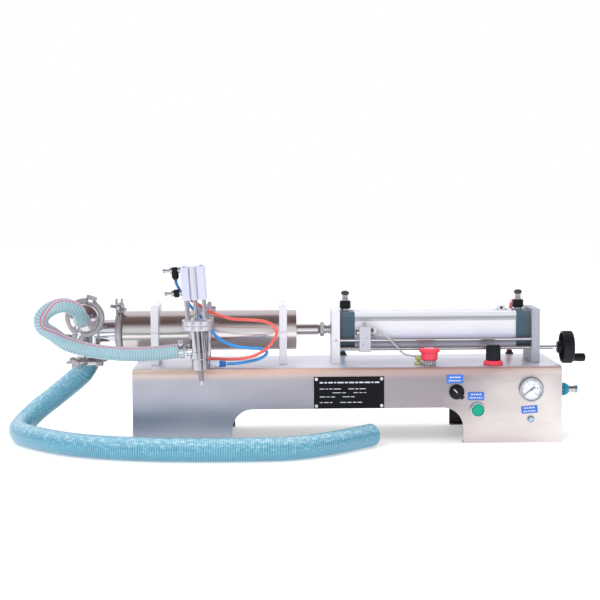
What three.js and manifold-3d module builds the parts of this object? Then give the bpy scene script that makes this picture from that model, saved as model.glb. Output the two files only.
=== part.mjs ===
// Semi-automatic pneumatic piston liquid filler, bench type, 1000 ml.
// Millimetres, +Z up, +X towards the handwheel, -Y towards the operator.
// The machine is drawn about the middle of its base on the bench, then the whole group is moved so that
// the origin is the middle of the rigid parts' footprint.
import * as THREE from 'three';
import { mergeVertices } from 'three/addons/utils/BufferGeometryUtils.js';
import Module from 'manifold-3d';

const wasm = await Module();
wasm.setup();

// ---------------------------------------------------------------- driving dimensions

const GAP = 0.3;                 // clearance between pieces that touch
const FINE = 20;                 // facets round the large cylinders
const ROUND = 16;                // facets round ordinary turned pieces
const SMALL = 12;                // facets round small turned pieces
const TINY = 8;                  // facets round tubes, pins and screws

const BASE = { length: 840, depth: 220, height: 150, sheet: 2, bend: 12, flange: 16 };
const ARCH = { width: 452, height: 70, radius: 40 };
const AXIS_Z = 215;              // height of the two cylinders' common axis

const PRODUCT = { left: -445, right: -98, outer: 40, bore: 38, wall: 4, port: 22 };
const FERRULE = { radius: 32, rim: 3, neck: 25.5, cone: 2.3 };
const CLAMP = { outer: 39, lip: 27.8, groove: 32.9, width: 15, slit: 4 };
const SUPPORT = { thick: 15, depth: 100, top: 268, leftX: -380, rightX: -125 };

const TEE = { x: -517, radius: 25.5, branch: 23, bore: 22, top: 276 };
const TEE_OUTLET = { z: 247, faceY: -51.5 };
const TEE_INLET_Z = 157.5;       // face of the bottom ferrule joint
const BRANCH_FACE_X = -453;      // where the cylinder's ferrule meets the tee's
const SEAT = { inletZ: 174, outletY: -28, thick: 6, hole: 14 };
const POPPET = { radius: 17.5, thick: 4, stem: 4, guide: 22 };

const PISTON = { left: -160, right: -115, radius: 37.7, groove: 3, ring: 5 };
const ROD = { product: 11, air: 10, end: -50 };
const NUT = { radius: 14.5, length: 8, sleeve: 9.5, end: -30 };

const PLATE = { thick: 16, depth: 100, top: 257, leftX: -20, rightX: 379 };
const AIR = { capLeft: -11, capRight: 371, cap: 29, side: 75, chamfer: 9, bore: 31.5 };
const AIR_PISTON = { left: 300, right: 336 };

const SCREW_Y = -44;             // guide rod and spindle run in front of the air cylinder
const GUIDE = { z: 197, radius: 3.7, left: -26, right: 385 };
const SPINDLE = { z: 179.8, radius: 4, left: -26, right: 449 };
const WHEEL = { left: 422, web: 436, right: 453, radius: 32, hub: 12, crank: 21 };
const CRANK = { radius: 8.4, length: 27, pin: 3, pinLength: 20 };
const SENSOR = { left: 26, right: 49, front: -58, back: -38.4, low: 174, high: 225, y: -50, z: 213.5 };

const FLOW = { leftX: 1, rightX: 351, seat: 252.8, body: 20, radius: 11.5, neck: 27, port: 11, elbow: 26 };
const STOP = { x: 162.5, y: -82 };
const REGULATOR = { x: 289, y: -80 };
const SELECTOR = { x: 213, z: 101 };
const START = { x: 254, z: 65.5 };
const GAUGE = { x: 359, z: 105 };
const INLET = { y: -10, z: 90 };
const PANEL_HOLE = 11.3;         // 22 mm control hole with clearance
const FRONT = -BASE.depth / 2;

const NOZZLE = { x: -288, y: -145, z: 200, lean: -3.8 };
const STAND = { x: -273, y: -72, radius: 6 };

// Free hoses and tubes: outside radius and the points of the centre line.
const PRODUCT_HOSE = {
  radius: 14,
  sides: 10,
  steps: 36,
  route: [
    [-517, -93, 247], [-517, -104, 247.2], [-515, -120, 252], [-521, -143, 271], [-543, -156, 281],
    [-568, -161, 274], [-584, -163, 258], [-583, -163, 241], [-565, -160, 227], [-539, -156, 208],
    [-503, -152, 196], [-465, -149, 189], [-413, -147, 185], [-363, -147, 187], [-337, -146, 190],
    [-314.3, -145, 191.3],
  ],
};
const SUCTION_HOSE = {
  radius: 22,
  sides: 12,
  steps: 30,
  route: [
    [-525.3, 0, 138.8], [-529.8, 0.3, 131], [-540.5, 4, 120.5], [-558, 9, 106], [-590, 16, 80],
    [-621, 18, 56], [-642, 8, 37], [-652, -20, 26], [-645, -68, 22.2], [-609, -126, 22.2],
    [-520, -208, 22.2], [-403, -256, 22.2], [-297, -272, 22.2], [-190, -274, 22.2],
    [-120, -267, 22.2], [-49, -227, 22.2], [44, -136, 22.2],
  ],
};
const BLUE_TUBE = {
  radius: 3,
  sides: 8,
  steps: 28,
  route: [
    [-330.3, -145, 325.5], [-330, -141, 321], [-327, -120, 311], [-322, -109, 299], [-313, -107, 286],
    [-304, -107, 272], [-286, -107, 254], [-269, -105, 230], [-255, -104, 213], [-236, -102, 200],
    [-216, -100, 193], [-190, -98, 189], [-169, -96, 187], [-157, -95, 180], [-169, -94, 169],
    [-190, -93, 163], [-216, -93, 159], [-236, -93, 158],
  ],
};
const RED_TUBE = {
  radius: 3,
  sides: 8,
  steps: 30,
  route: [
    [-329, -136.6, 304], [-328.8, -131, 303.7], [-320, -118, 299.5], [-305, -117, 287], [-288, -112, 276],
    [-275, -107, 265], [-247, -105, 254], [-223, -105, 247], [-190, -105, 245], [-159, -105, 241],
    [-142, -105, 231], [-138, -105, 218], [-145, -105, 204], [-157, -105, 189], [-175, -103, 178],
    [-198, -99, 170], [-224, -92, 167], [-247, -88, 167], [-262, -88, 168], [-277, -89, 168],
  ],
};
const CAP_TUBE = { radius: 4, sides: 8, steps: 12, footY: 98 };
const SENSOR_CABLE = {
  radius: 2,
  sides: 8,
  steps: 16,
  route: [
    [66.8, -50, 213.5], [71, -50.3, 212.2], [84, -55, 201], [102, -56, 183], [114, -57, 171],
    [128, -57, 167], [139, -57, 165.5],
  ],
};

// ---------------------------------------------------------------- materials

function finish(color, roughness, metalness) {
  return new THREE.MeshStandardMaterial({ color, roughness, metalness });
}

const brushedSteel = finish(0xb9b4ae, 0.35, 1.0);
const polishedSteel = finish(0xc9c5c2, 0.12, 1.0);
const castSteel = finish(0xaaa7a5, 0.4, 1.0);
const aluminium = finish(0xd8d8de, 0.35, 0.9);
const whiteAluminium = finish(0xeeeef0, 0.45, 0.6);
const tealPaint = finish(0x2b4a60, 0.4, 0.3);
const blackPlastic = finish(0x16171c, 0.45, 0.0);
const redPlastic = finish(0xe23550, 0.4, 0.0);
const greenPlastic = finish(0x1f9e78, 0.35, 0.0);
const greyPlastic = finish(0x8c8c90, 0.45, 0.1);
const whitePlastic = finish(0xf2f2f0, 0.5, 0.0);
const bluePolymer = finish(0x3c9be8, 0.35, 0.0);
const redPolymer = finish(0xf0605c, 0.35, 0.0);
const tealFitting = finish(0x1f8aa8, 0.35, 0.5);
const clearHose = finish(0xa8ccd4, 0.3, 0.0);
const greyCable = finish(0xb5b3b8, 0.6, 0.0);

// ---------------------------------------------------------------- solids

// A closed three.js geometry as a manifold solid: shared corners merged, faces turned outwards.
function solid(geometry) {
  const bare = geometry.clone();
  bare.deleteAttribute('normal');
  bare.deleteAttribute('uv');
  const merged = mergeVertices(bare, 1e-4);
  const points = merged.attributes.position.array;
  const corners = merged.index.array;
  const triangles = [];
  let volume = 0;
  for (let i = 0; i < corners.length; i += 3) {
    const [a, b, c] = corners.slice(i, i + 3);
    if (a === b || b === c || c === a) continue;
    const [p, q, r] = [a, b, c].map((k) => new THREE.Vector3().fromArray(points, 3 * k));
    volume += p.dot(q.cross(r));
    triangles.push(a, b, c);
  }
  if (volume < 0) triangles.reverse();
  return new wasm.Manifold(new wasm.Mesh({
    numProp: 3,
    vertProperties: new Float32Array(points),
    triVerts: new Uint32Array(triangles),
  }));
}

function geometryOf(shape) {
  const mesh = shape.getMesh();
  const geometry = new THREE.BufferGeometry();
  geometry.setAttribute('position', new THREE.BufferAttribute(mesh.vertProperties, 3));
  geometry.setIndex(new THREE.BufferAttribute(mesh.triVerts, 1));
  geometry.computeVertexNormals();
  return geometry;
}

const unite = (...shapes) => shapes.reduce((sum, next) => sum.add(next));
const cut = (body, ...tools) => tools.reduce((rest, tool) => rest.subtract(tool), body);

// Turned solid about an axis: profile points are [distance along the axis, radius].
function turned(axis, profile, facets = ROUND) {
  const points = profile.map(([along, radius]) => new THREE.Vector2(radius, along));
  const geometry = new THREE.LatheGeometry(points, facets);
  if (axis === 'x') geometry.rotateZ(-Math.PI / 2);
  if (axis === 'z') geometry.rotateX(Math.PI / 2);
  return geometry;
}

// Turned ring: the same, with the profile closed on itself round a hole.
const ring = (axis, profile, facets) => turned(axis, [...profile, profile[0]], facets);

const bar = (axis, from, to, radius, facets) =>
  turned(axis, [[from, 0], [from, radius], [to, radius], [to, 0]], facets);

const pipe = (axis, from, to, inner, outer, facets) =>
  ring(axis, [[from, inner], [from, outer], [to, outer], [to, inner]], facets);

// Block between two corners.
function block(low, high) {
  const size = high.map((value, i) => value - low[i]);
  const middle = high.map((value, i) => (value + low[i]) / 2);
  return new THREE.BoxGeometry(...size).translate(...middle);
}

const drawn = (shape, depth, curveSegments) =>
  new THREE.ExtrudeGeometry(shape, { depth, bevelEnabled: false, curveSegments });

// Flat shape in (Y, Z) drawn out along X.
function alongX(shape, from, to) {
  const turn = new THREE.Matrix4().makeBasis(
    new THREE.Vector3(0, 1, 0),
    new THREE.Vector3(0, 0, 1),
    new THREE.Vector3(1, 0, 0),
  );
  return drawn(shape, to - from, 3).applyMatrix4(turn).translate(from, 0, 0);
}

// Flat shape in (X, Z) drawn out along Y.
function alongY(shape, from, to) {
  return drawn(shape, to - from, 4).rotateX(Math.PI / 2).translate(0, to, 0);
}

// Rectangle whose two upper corners are rounded.
function archShape(half, low, high, radius) {
  const shape = new THREE.Shape();
  shape.moveTo(-half, low);
  shape.lineTo(half, low);
  shape.lineTo(half, high - radius);
  shape.absarc(half - radius, high - radius, radius, 0, Math.PI / 2, false);
  shape.absarc(radius - half, high - radius, radius, Math.PI / 2, Math.PI, false);
  return shape;
}

function polygon(points) {
  return new THREE.Shape(points.map(([u, v]) => new THREE.Vector2(u, v)));
}

// Tube or hose along its route.
function hose({ radius, sides, steps, route }) {
  const path = new THREE.CatmullRomCurve3(route.map((point) => new THREE.Vector3(...point)));
  const section = new THREE.Shape();
  section.absarc(0, 0, radius, 0, 2 * Math.PI, false);
  return new THREE.ExtrudeGeometry(section, { extrudePath: path, steps, curveSegments: sides / 2 });
}

// ---------------------------------------------------------------- the scene graph

const machine = new THREE.Group();

function piece(name, material, shape, position = [0, 0, 0], parent = machine) {
  const geometry = shape.isBufferGeometry ? geometryOf(solid(shape)) : geometryOf(shape);
  const mesh = new THREE.Mesh(geometry, material);
  mesh.name = name;
  mesh.position.set(...position);
  parent.add(mesh);
  return mesh;
}

// ---------------------------------------------------------------- base

const half = { x: BASE.length / 2, y: BASE.depth / 2 };
const inside = { x: half.x - BASE.sheet, y: half.y - BASE.sheet, top: BASE.height - BASE.sheet };

function panelHole(x, z, radius) {
  return solid(bar('y', FRONT - 4, FRONT + 6, radius)).translate([x, 0, z]);
}

function topHole(x, y, radius) {
  return solid(bar('z', BASE.height - 6, BASE.height + 4, radius)).translate([x, y, 0]);
}

// Folded stainless cover with welded ends, open underneath, and an arch through the front and back.
function baseFrame() {
  const outer = solid(alongX(archShape(half.y, 0, BASE.height, BASE.bend), -half.x, half.x));
  const cavityShape = archShape(inside.y, BASE.sheet, inside.top, BASE.bend - BASE.sheet);
  const cavity = solid(alongX(cavityShape, -inside.x, inside.x));
  const mouth = solid(block(
    [BASE.flange - half.x, BASE.flange - half.y, -1],
    [half.x - BASE.flange, half.y - BASE.flange, BASE.sheet + 1],
  ));
  const archOutline = archShape(ARCH.width / 2, -1, ARCH.height, ARCH.radius);
  const arch = solid(alongY(archOutline, -half.y - 1, half.y + 1));
  const inlet = solid(bar('x', half.x - 6, half.x + 4, 7)).translate([0, INLET.y, INLET.z]);
  return cut(
    outer, cavity, mouth, arch, inlet,
    panelHole(SELECTOR.x, SELECTOR.z, PANEL_HOLE),
    panelHole(START.x, START.z, PANEL_HOLE),
    panelHole(GAUGE.x, GAUGE.z, 20),
    topHole(STOP.x, STOP.y, PANEL_HOLE),
    topHole(REGULATOR.x, REGULATOR.y, PANEL_HOLE),
  );
}
piece('base_frame', brushedSteel, baseFrame());

// ---------------------------------------------------------------- product cylinder and its supports

// Half profile of a clamp ferrule whose face is at `face`, running in the direction `way` down to its neck.
function ferruleRim(face, way, bore) {
  return [
    [face, bore],
    [face, FERRULE.radius],
    [face + way * FERRULE.rim, FERRULE.radius],
    [face + way * (FERRULE.rim + FERRULE.cone), FERRULE.neck],
  ];
}

function productCylinder() {
  const face = BRANCH_FACE_X + GAP / 2;
  return ring('x', [
    ...ferruleRim(face, 1, PRODUCT.port),
    [PRODUCT.left, FERRULE.neck],
    [PRODUCT.left, PRODUCT.outer],
    [PRODUCT.right, PRODUCT.outer],
    [PRODUCT.right, PRODUCT.bore],
    [PRODUCT.left + PRODUCT.wall, PRODUCT.bore],
    [PRODUCT.left + PRODUCT.wall, PRODUCT.port],
  ], FINE);
}
piece('product_cylinder', polishedSteel, productCylinder(), [0, 0, AXIS_Z]);

for (const [side, x] of [['left', SUPPORT.leftX], ['right', SUPPORT.rightX]]) {
  const seat = bar('x', -SUPPORT.thick, SUPPORT.thick, PRODUCT.outer + 2 * GAP, FINE);
  const bore = solid(seat).translate([0, 0, AXIS_Z]);
  const reach = [SUPPORT.thick / 2, SUPPORT.depth / 2];
  const lower = block([-reach[0], -reach[1], BASE.height + GAP], [...reach, AXIS_Z - GAP]);
  const upper = block([-reach[0], -reach[1], AXIS_Z + GAP], [...reach, SUPPORT.top]);
  piece(`support_${side}_lower`, whiteAluminium, cut(solid(lower), bore), [x, 0, 0]);
  piece(`support_${side}_upper`, whiteAluminium, cut(solid(upper), bore), [x, 0, 0]);
}

// ---------------------------------------------------------------- three-way valve

function valveBody() {
  const outletZ = TEE_OUTLET.z;
  const bottom = TEE_INLET_Z + GAP / 2;
  const column = solid(turned('z', [
    [bottom, 0],
    ...ferruleRim(bottom, 1, FERRULE.radius).slice(1),
    [TEE.top - 10, TEE.radius],
    [TEE.top - 3, TEE.radius - 6],
    [TEE.top, 0],
  ]));
  const branch = solid(turned('x', [
    [0, 0],
    [0, TEE.branch],
    ...ferruleRim(BRANCH_FACE_X - GAP / 2 - TEE.x, -1, 0).reverse(),
  ])).translate([0, 0, AXIS_Z]);
  const outlet = solid(turned('y', [
    ...ferruleRim(TEE_OUTLET.faceY + GAP / 2, 1, 0),
    [0, TEE.radius],
    [0, 0],
  ])).translate([0, 0, outletZ]);
  const columnBore = solid(turned('z', [
    [bottom - 1, 0],
    [bottom - 1, TEE.bore],
    [SEAT.inletZ, TEE.bore],
    [SEAT.inletZ, SEAT.hole],
    [SEAT.inletZ + SEAT.thick, SEAT.hole],
    [SEAT.inletZ + SEAT.thick, TEE.bore],
    [TEE.top - 13, TEE.bore],
    [TEE.top - 6, TEE.bore - 6],
    [TEE.top - 4, 0],
  ]));
  const branchBore = solid(bar('x', 0, BRANCH_FACE_X - TEE.x + 1, TEE.bore - 1)).translate([0, 0, AXIS_Z]);
  const outletBore = solid(turned('y', [
    [TEE_OUTLET.faceY - 1, 0],
    [TEE_OUTLET.faceY - 1, TEE.bore],
    [SEAT.outletY, TEE.bore],
    [SEAT.outletY, SEAT.hole],
    [0, SEAT.hole],
    [0, 0],
  ])).translate([0, 0, outletZ]);
  return cut(unite(column, branch, outlet), columnBore, branchBore, outletBore);
}
piece('valve_body', polishedSteel, valveBody(), [TEE.x, 0, 0]);

// Mushroom valve with a stem that guides it in its seat; it opens along +axis.
function poppet(axis) {
  return turned(axis, [
    [-POPPET.guide, 0],
    [-POPPET.guide, POPPET.stem],
    [0, POPPET.stem],
    [0, POPPET.radius],
    [POPPET.thick, POPPET.radius - 2],
    [POPPET.thick, 0],
  ], SMALL);
}
piece('inlet_poppet', castSteel, poppet('z'), [TEE.x, 0, SEAT.inletZ + SEAT.thick + GAP]);
const outletSeat = [TEE.x, SEAT.outletY - GAP, TEE_OUTLET.z];
const outletPoppet = piece('outlet_poppet', castSteel, poppet('y'), outletSeat);
outletPoppet.rotation.z = Math.PI;

// Cone from the outlet ferrule down to the product hose's tail.
function outletReducer() {
  return ring('y', [
    ...ferruleRim(0, 1, TEE.bore),
    [9, FERRULE.neck - 1],
    [28, 15],
    [32, 12],
    [40, 12],
    [40, 9],
    [30, 9],
    [8, TEE.bore],
  ]);
}
const outletFace = [TEE.x, TEE_OUTLET.faceY - GAP / 2, TEE_OUTLET.z];
const reducer = piece('outlet_reducer', polishedSteel, outletReducer(), outletFace);
reducer.rotation.z = Math.PI;

// Bottom ferrule with the suction hose's tail, bent sideways towards the hose.
const TAIL = { length: 15, radius: 19, bore: 15, lean: 30 };

function inletFerrule() {
  const rim = solid(turned('z', [...ferruleRim(0, -1, 0), [-5.3, 0]]));
  const bent = (shape) => solid(shape).rotate([0, TAIL.lean, 0]).translate([0, 0, -4]);
  const tail = bent(bar('z', -TAIL.length, 2, TAIL.radius));
  const bore = bent(bar('z', -TAIL.length - 2, 1, TAIL.bore));
  const mouth = solid(bar('z', -4, 1, TAIL.bore + 2));
  const above = solid(bar('z', 0, 20, FERRULE.radius + 5));
  return cut(unite(rim, tail), bore, mouth, above);
}
piece('inlet_ferrule', polishedSteel, inletFerrule(), [TEE.x, 0, TEE_INLET_Z - GAP / 2]);

// Hinged ring clamp: grooved ring split at its ears, with a cross bolt that the wing nut draws up.
// The ring's axis is local Z, the ears point along local Y and the bolt lies along local X.
const BOLT = { y: 49, radius: 4, left: -38, right: 26 };

function clampRing() {
  const halfWidth = CLAMP.width / 2;
  const band = solid(ring('z', [
    [-halfWidth, CLAMP.lip],
    [-halfWidth, CLAMP.outer],
    [halfWidth, CLAMP.outer],
    [halfWidth, CLAMP.lip],
    [5.2, CLAMP.lip],
    [3.6, CLAMP.groove],
    [-3.6, CLAMP.groove],
    [-5.2, CLAMP.lip],
  ]));
  const slit = solid(block([-CLAMP.slit / 2, 20, -20], [CLAMP.slit / 2, 60, 20]));
  const ears = solid(block([-12, 34, -6.5], [12, BOLT.y + 6, 6.5]));
  const bolt = solid(bar('x', BOLT.left, BOLT.right, BOLT.radius, TINY)).translate([0, BOLT.y, 0]);
  const head = solid(bar('x', BOLT.right - 10, BOLT.right, 7, SMALL)).translate([0, BOLT.y, 0]);
  const knuckle = solid(bar('z', -6.5, 6.5, 7, SMALL)).translate([0, -CLAMP.outer - 2, 0]);
  return unite(cut(unite(band, ears, knuckle), slit), bolt, head);
}

function wingNut() {
  const hub = solid(pipe('x', -22, -13, BOLT.radius + GAP, 7.5, SMALL));
  const wingShape = polygon([[-22, 5], [-14, 5], [-16, 9], [-24, 17], [-30, 17], [-28, 11]]);
  const wings = solid(alongY(wingShape, -1.75, 1.75));
  const clearance = solid(bar('x', -40, 0, BOLT.radius + GAP, SMALL));
  return cut(unite(hub, wings, wings.rotate([180, 0, 0])), clearance);
}

const clampPlaces = [
  { name: 'cylinder_clamp', at: [BRANCH_FACE_X, 0, AXIS_Z], bolt: [0, 1, 0], ears: [0, 0, 1] },
  {
    name: 'outlet_clamp',
    at: [TEE.x, TEE_OUTLET.faceY, TEE_OUTLET.z],
    bolt: [0.94, 0, -0.342],
    ears: [-0.342, 0, -0.94],
  },
  { name: 'inlet_clamp', at: [TEE.x, 0, TEE_INLET_Z], bolt: [1, 0, 0], ears: [0, -1, 0] },
];
for (const { name, at, bolt, ears } of clampPlaces) {
  const [boltAxis, earAxis] = [bolt, ears].map((axis) => new THREE.Vector3(...axis).normalize());
  const frame = new THREE.Group();
  const ringAxis = boltAxis.clone().cross(earAxis);
  frame.quaternion.setFromRotationMatrix(new THREE.Matrix4().makeBasis(boltAxis, earAxis, ringAxis));
  frame.position.set(...at);
  machine.add(frame);
  piece(name, castSteel, clampRing(), [0, 0, 0], frame);
  piece(`${name}_nut`, castSteel, wingNut(), [0, BOLT.y, 0], frame);
}

// ---------------------------------------------------------------- moving rod string

function productPiston() {
  const { left, right, radius, groove, ring: width } = PISTON;
  const bottom = radius - groove;
  const grooveAt = (x) => [[x, radius], [x, bottom], [x + width, bottom], [x + width, radius]];
  return turned('x', [
    [left, 0],
    [left, radius],
    ...grooveAt(left + 8),
    ...grooveAt(right - 8 - width),
    [right, radius],
    [right, 0],
  ], FINE);
}
piece('product_piston', whitePlastic, productPiston(), [0, 0, AXIS_Z]);

function productRod() {
  return turned('x', [
    [PISTON.right + GAP, 0],
    [PISTON.right + GAP, ROD.product],
    [ROD.end - 4 - GAP, ROD.product],
    [ROD.end - GAP, ROD.product - 3],
    [ROD.end - GAP, 0],
  ]);
}
piece('product_rod', polishedSteel, productRod(), [0, 0, AXIS_Z]);

function rodCoupling() {
  const nut = solid(bar('x', ROD.end, ROD.end + NUT.length, NUT.radius, 6));
  const sleeve = solid(bar('x', ROD.end, NUT.end, NUT.sleeve));
  return unite(nut, sleeve);
}
piece('rod_coupling', castSteel, rodCoupling(), [0, 0, AXIS_Z]);

const airRod = bar('x', NUT.end + GAP, AIR_PISTON.left - GAP, ROD.air);
piece('air_rod', polishedSteel, airRod, [0, 0, AXIS_Z]);

const airPiston = bar('x', AIR_PISTON.left, AIR_PISTON.right, AIR.bore - GAP, FINE);
piece('air_piston', blackPlastic, airPiston, [0, 0, AXIS_Z]);

// ---------------------------------------------------------------- air cylinder between its two plates

const frontRods = (radiusGap) => [
  solid(bar('x', -30, 500, GUIDE.radius + radiusGap, SMALL)).translate([0, SCREW_Y, GUIDE.z]),
  solid(bar('x', -30, 500, SPINDLE.radius + radiusGap, SMALL)).translate([0, SCREW_Y, SPINDLE.z]),
];

for (const [side, x] of [['left', PLATE.leftX], ['right', PLATE.rightX]]) {
  const from = x - PLATE.thick / 2;
  const to = x + PLATE.thick / 2;
  const body = solid(block([from, -PLATE.depth / 2, BASE.height + GAP], [to, PLATE.depth / 2, PLATE.top]));
  const rodHole = solid(bar('x', from - 1, to + 1, 13)).translate([0, 0, AXIS_Z]);
  piece(`plate_${side}`, whiteAluminium, cut(body, rodHole, ...frontRods(GAP)));
}

function capShape(side, chamfer) {
  const edge = side / 2;
  return polygon([
    [-edge + chamfer, -edge], [edge - chamfer, -edge], [edge, -edge + chamfer], [edge, edge - chamfer],
    [edge - chamfer, edge], [-edge + chamfer, edge], [-edge, edge - chamfer], [-edge, -edge + chamfer],
  ]);
}

const airCapShape = capShape(AIR.side, AIR.chamfer);
const rodBush = solid(bar('x', AIR.capLeft - 1, AIR.capLeft + AIR.cap + 1, ROD.air + 0.4));
const leftCap = solid(alongX(airCapShape, AIR.capLeft, AIR.capLeft + AIR.cap));
piece('air_cap_left', tealPaint, cut(leftCap, rodBush), [0, 0, AXIS_Z]);
const rightCap = alongX(airCapShape, AIR.capRight - AIR.cap, AIR.capRight - GAP);
piece('air_cap_right', tealPaint, rightCap, [0, 0, AXIS_Z]);

// Barrel extrusion: four corner ribs that hold the tie rods, with the sides set back between them.
function airBarrel() {
  const outline = [];
  for (let quarter = 0; quarter < 4; quarter += 1) {
    const turn = (quarter * Math.PI) / 2;
    const corner = [[34, -19], [37, -21], [37, -32], [32, -37], [21, -37], [19, -34]].reverse();
    for (const [u, v] of corner) {
      outline.push([
        u * Math.cos(turn) - v * Math.sin(turn),
        u * Math.sin(turn) + v * Math.cos(turn),
      ]);
    }
  }
  const from = AIR.capLeft + AIR.cap + GAP;
  const to = AIR.capRight - AIR.cap - GAP;
  const bore = solid(bar('x', from - 1, to + 1, AIR.bore, FINE));
  return cut(solid(alongX(polygon(outline), from, to)), bore);
}
piece('air_barrel', aluminium, airBarrel(), [0, 0, AXIS_Z]);

// ---------------------------------------------------------------- stroke adjustment

const guideRod = bar('x', GUIDE.left, GUIDE.right, GUIDE.radius, SMALL);
piece('guide_rod', polishedSteel, guideRod, [0, SCREW_Y, GUIDE.z]);

const spindle = bar('x', SPINDLE.left, SPINDLE.right, SPINDLE.radius, SMALL);
piece('adjust_spindle', polishedSteel, spindle, [0, SCREW_Y, SPINDLE.z]);

function handwheel() {
  const { left, web, right, radius, hub, crank } = WHEEL;
  const bore = SPINDLE.radius + GAP;
  const wheel = solid(turned('x', [
    [left, 0],
    [left, hub],
    [web - 3, hub + 1],
    [web + 5, radius - 8],
    [web, radius - 5],
    [web + 2, radius],
    [right - 4, radius],
    [right, radius - 5],
    [right, 0],
  ], FINE));
  const blindBore = solid(bar('x', left - 1, SPINDLE.right + GAP, bore, SMALL));
  const pin = solid(bar('x', right - 2, right + CRANK.pinLength, CRANK.pin, TINY)).translate([0, 0, -crank]);
  return unite(cut(wheel, blindBore), pin);
}
piece('handwheel', blackPlastic, handwheel(), [0, SCREW_Y, SPINDLE.z]);

function crankHandle() {
  const bore = CRANK.pin + GAP;
  return turned('x', [
    [CRANK.pinLength + GAP, 0],
    [CRANK.pinLength + GAP, bore],
    [GAP, bore],
    [GAP, CRANK.radius - 1],
    [2, CRANK.radius],
    [CRANK.length - 2, CRANK.radius],
    [CRANK.length, CRANK.radius - 2],
    [CRANK.length, 0],
  ], SMALL);
}
piece('crank_handle', blackPlastic, crankHandle(), [WHEEL.right, SCREW_Y, SPINDLE.z - WHEEL.crank]);

function sensorBlock() {
  const body = solid(block(
    [SENSOR.left, SENSOR.front, SENSOR.low],
    [SENSOR.right, SENSOR.back, SENSOR.high],
  ));
  const sensorHole = solid(bar('x', 0, 100, 6.3, SMALL)).translate([0, SENSOR.y, SENSOR.z]);
  const thumbScrew = solid(turned('z', [[0, 0], [0, 2], [5, 2], [5, 3.2], [8, 3.2], [8, 0]], TINY));
  return unite(
    cut(body, sensorHole, ...frontRods(GAP)),
    thumbScrew.translate([(SENSOR.left + SENSOR.right) / 2, SENSOR.y + 1, SENSOR.high - 1]),
  );
}
piece('sensor_block', aluminium, sensorBlock());

function reedSensor() {
  return turned('x', [
    [19, 0], [19, 5], [20, 6], [SENSOR.right + GAP, 6], [SENSOR.right + GAP, 8.7],
    [SENSOR.right + 4, 8.7], [SENSOR.right + 4, 6], [63, 6], [63, 3], [66, 3], [66, 0],
  ], SMALL);
}
piece('reed_sensor', castSteel, reedSensor(), [0, SENSOR.y, SENSOR.z]);

// ---------------------------------------------------------------- speed controllers on the air cylinder

function flowControl() {
  const column = solid(turned('z', [
    [0, 0], [0, 9], [4, 9], [4, FLOW.radius], [FLOW.body, FLOW.radius - 1], [FLOW.body, 6], [FLOW.neck, 6],
    [FLOW.neck, 0],
  ], SMALL));
  const elbow = solid(bar('y', 0, FLOW.elbow, 6.5, SMALL)).translate([0, 0, FLOW.port]);
  return unite(column, elbow);
}

const flowKnob = () => turned('z', [[0, 0], [0, 5.5], [3, 8.3], [9, 8.3], [13, 5], [13, 0]], SMALL);

for (const [side, x] of [['left', FLOW.leftX], ['right', FLOW.rightX]]) {
  piece(`flow_control_${side}`, blackPlastic, flowControl(), [x, 0, FLOW.seat]);
  piece(`flow_knob_${side}`, blackPlastic, flowKnob(), [x, 0, FLOW.seat + FLOW.neck + GAP]);
}

// ---------------------------------------------------------------- controls on the base

const NECK = 11;                 // threaded neck of a 22 mm control
const BEHIND = BASE.sheet + GAP; // where a control's body starts behind its panel

// Body behind the front panel: neck through the hole, then a square contact block.
function controlBack(depth) {
  const neck = solid(bar('y', -1, BEHIND + 1, NECK));
  const contacts = solid(block([-15, BEHIND, -15], [15, depth, 15]));
  return unite(neck, contacts);
}

function stopBase() {
  const collar = solid(turned('z', [[GAP, 0], [GAP, 13.5], [8, 13], [10.5, 13], [10.5, 0]]));
  const neck = solid(bar('z', -BEHIND - 1, 1, NECK));
  const contacts = solid(block([-14, -14, -44], [14, 14, -BEHIND]));
  return cut(unite(collar, neck, contacts), solid(bar('z', -20, 20, 7 + GAP, SMALL)));
}
piece('e_stop_base', greyPlastic, stopBase(), [STOP.x, STOP.y, BASE.height]);

// Mushroom head: its skirt slides down over the collar.
function stopHead() {
  return turned('z', [
    [-15, 0], [-15, 7], [18, 7], [18, 13.9], [11.2, 13.9], [11.2, 15.3], [26, 15.3], [27, 20], [32, 20.5],
    [34, 18.5], [34, 0],
  ]);
}
piece('e_stop_head', redPlastic, stopHead(), [STOP.x, STOP.y, BASE.height]);

function regulatorBody() {
  return turned('z', [
    [-55, 0], [-55, 17], [-BEHIND, 17], [-BEHIND, NECK], [GAP, NECK], [GAP, 19], [5, 19], [9, 16.5],
    [9, 4], [32, 4], [32, 0],
  ]);
}
piece('regulator_body', redPlastic, regulatorBody(), [REGULATOR.x, REGULATOR.y, BASE.height]);

function regulatorKnob() {
  const bore = 4 + GAP;
  return turned('z', [
    [32 + GAP, 0], [32 + GAP, bore], [9 + GAP, bore], [9 + GAP, 14.5], [38, 14.5], [40, 12.5], [40, 0],
  ]);
}
piece('regulator_knob', blackPlastic, regulatorKnob(), [REGULATOR.x, REGULATOR.y, BASE.height]);

function selectorBody() {
  const bezel = solid(turned('y', [[-5, 0], [-5, 13.5], [-3.5, 14.7], [-GAP, 14.7], [-GAP, 0]]));
  return unite(bezel, controlBack(50));
}
piece('selector_body', blackPlastic, selectorBody(), [SELECTOR.x, FRONT, SELECTOR.z]);

// Round turning disc with a raised grip that points to the chosen setting.
function selectorKnob() {
  const disc = solid(bar('y', -9, -5 - GAP, 11));
  const grip = solid(block([-3.2, -18, -12], [3.2, -8, 12])).rotate([0, -45, 0]);
  return unite(disc, grip);
}
piece('selector_knob', blackPlastic, selectorKnob(), [SELECTOR.x, FRONT, SELECTOR.z]);

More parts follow.
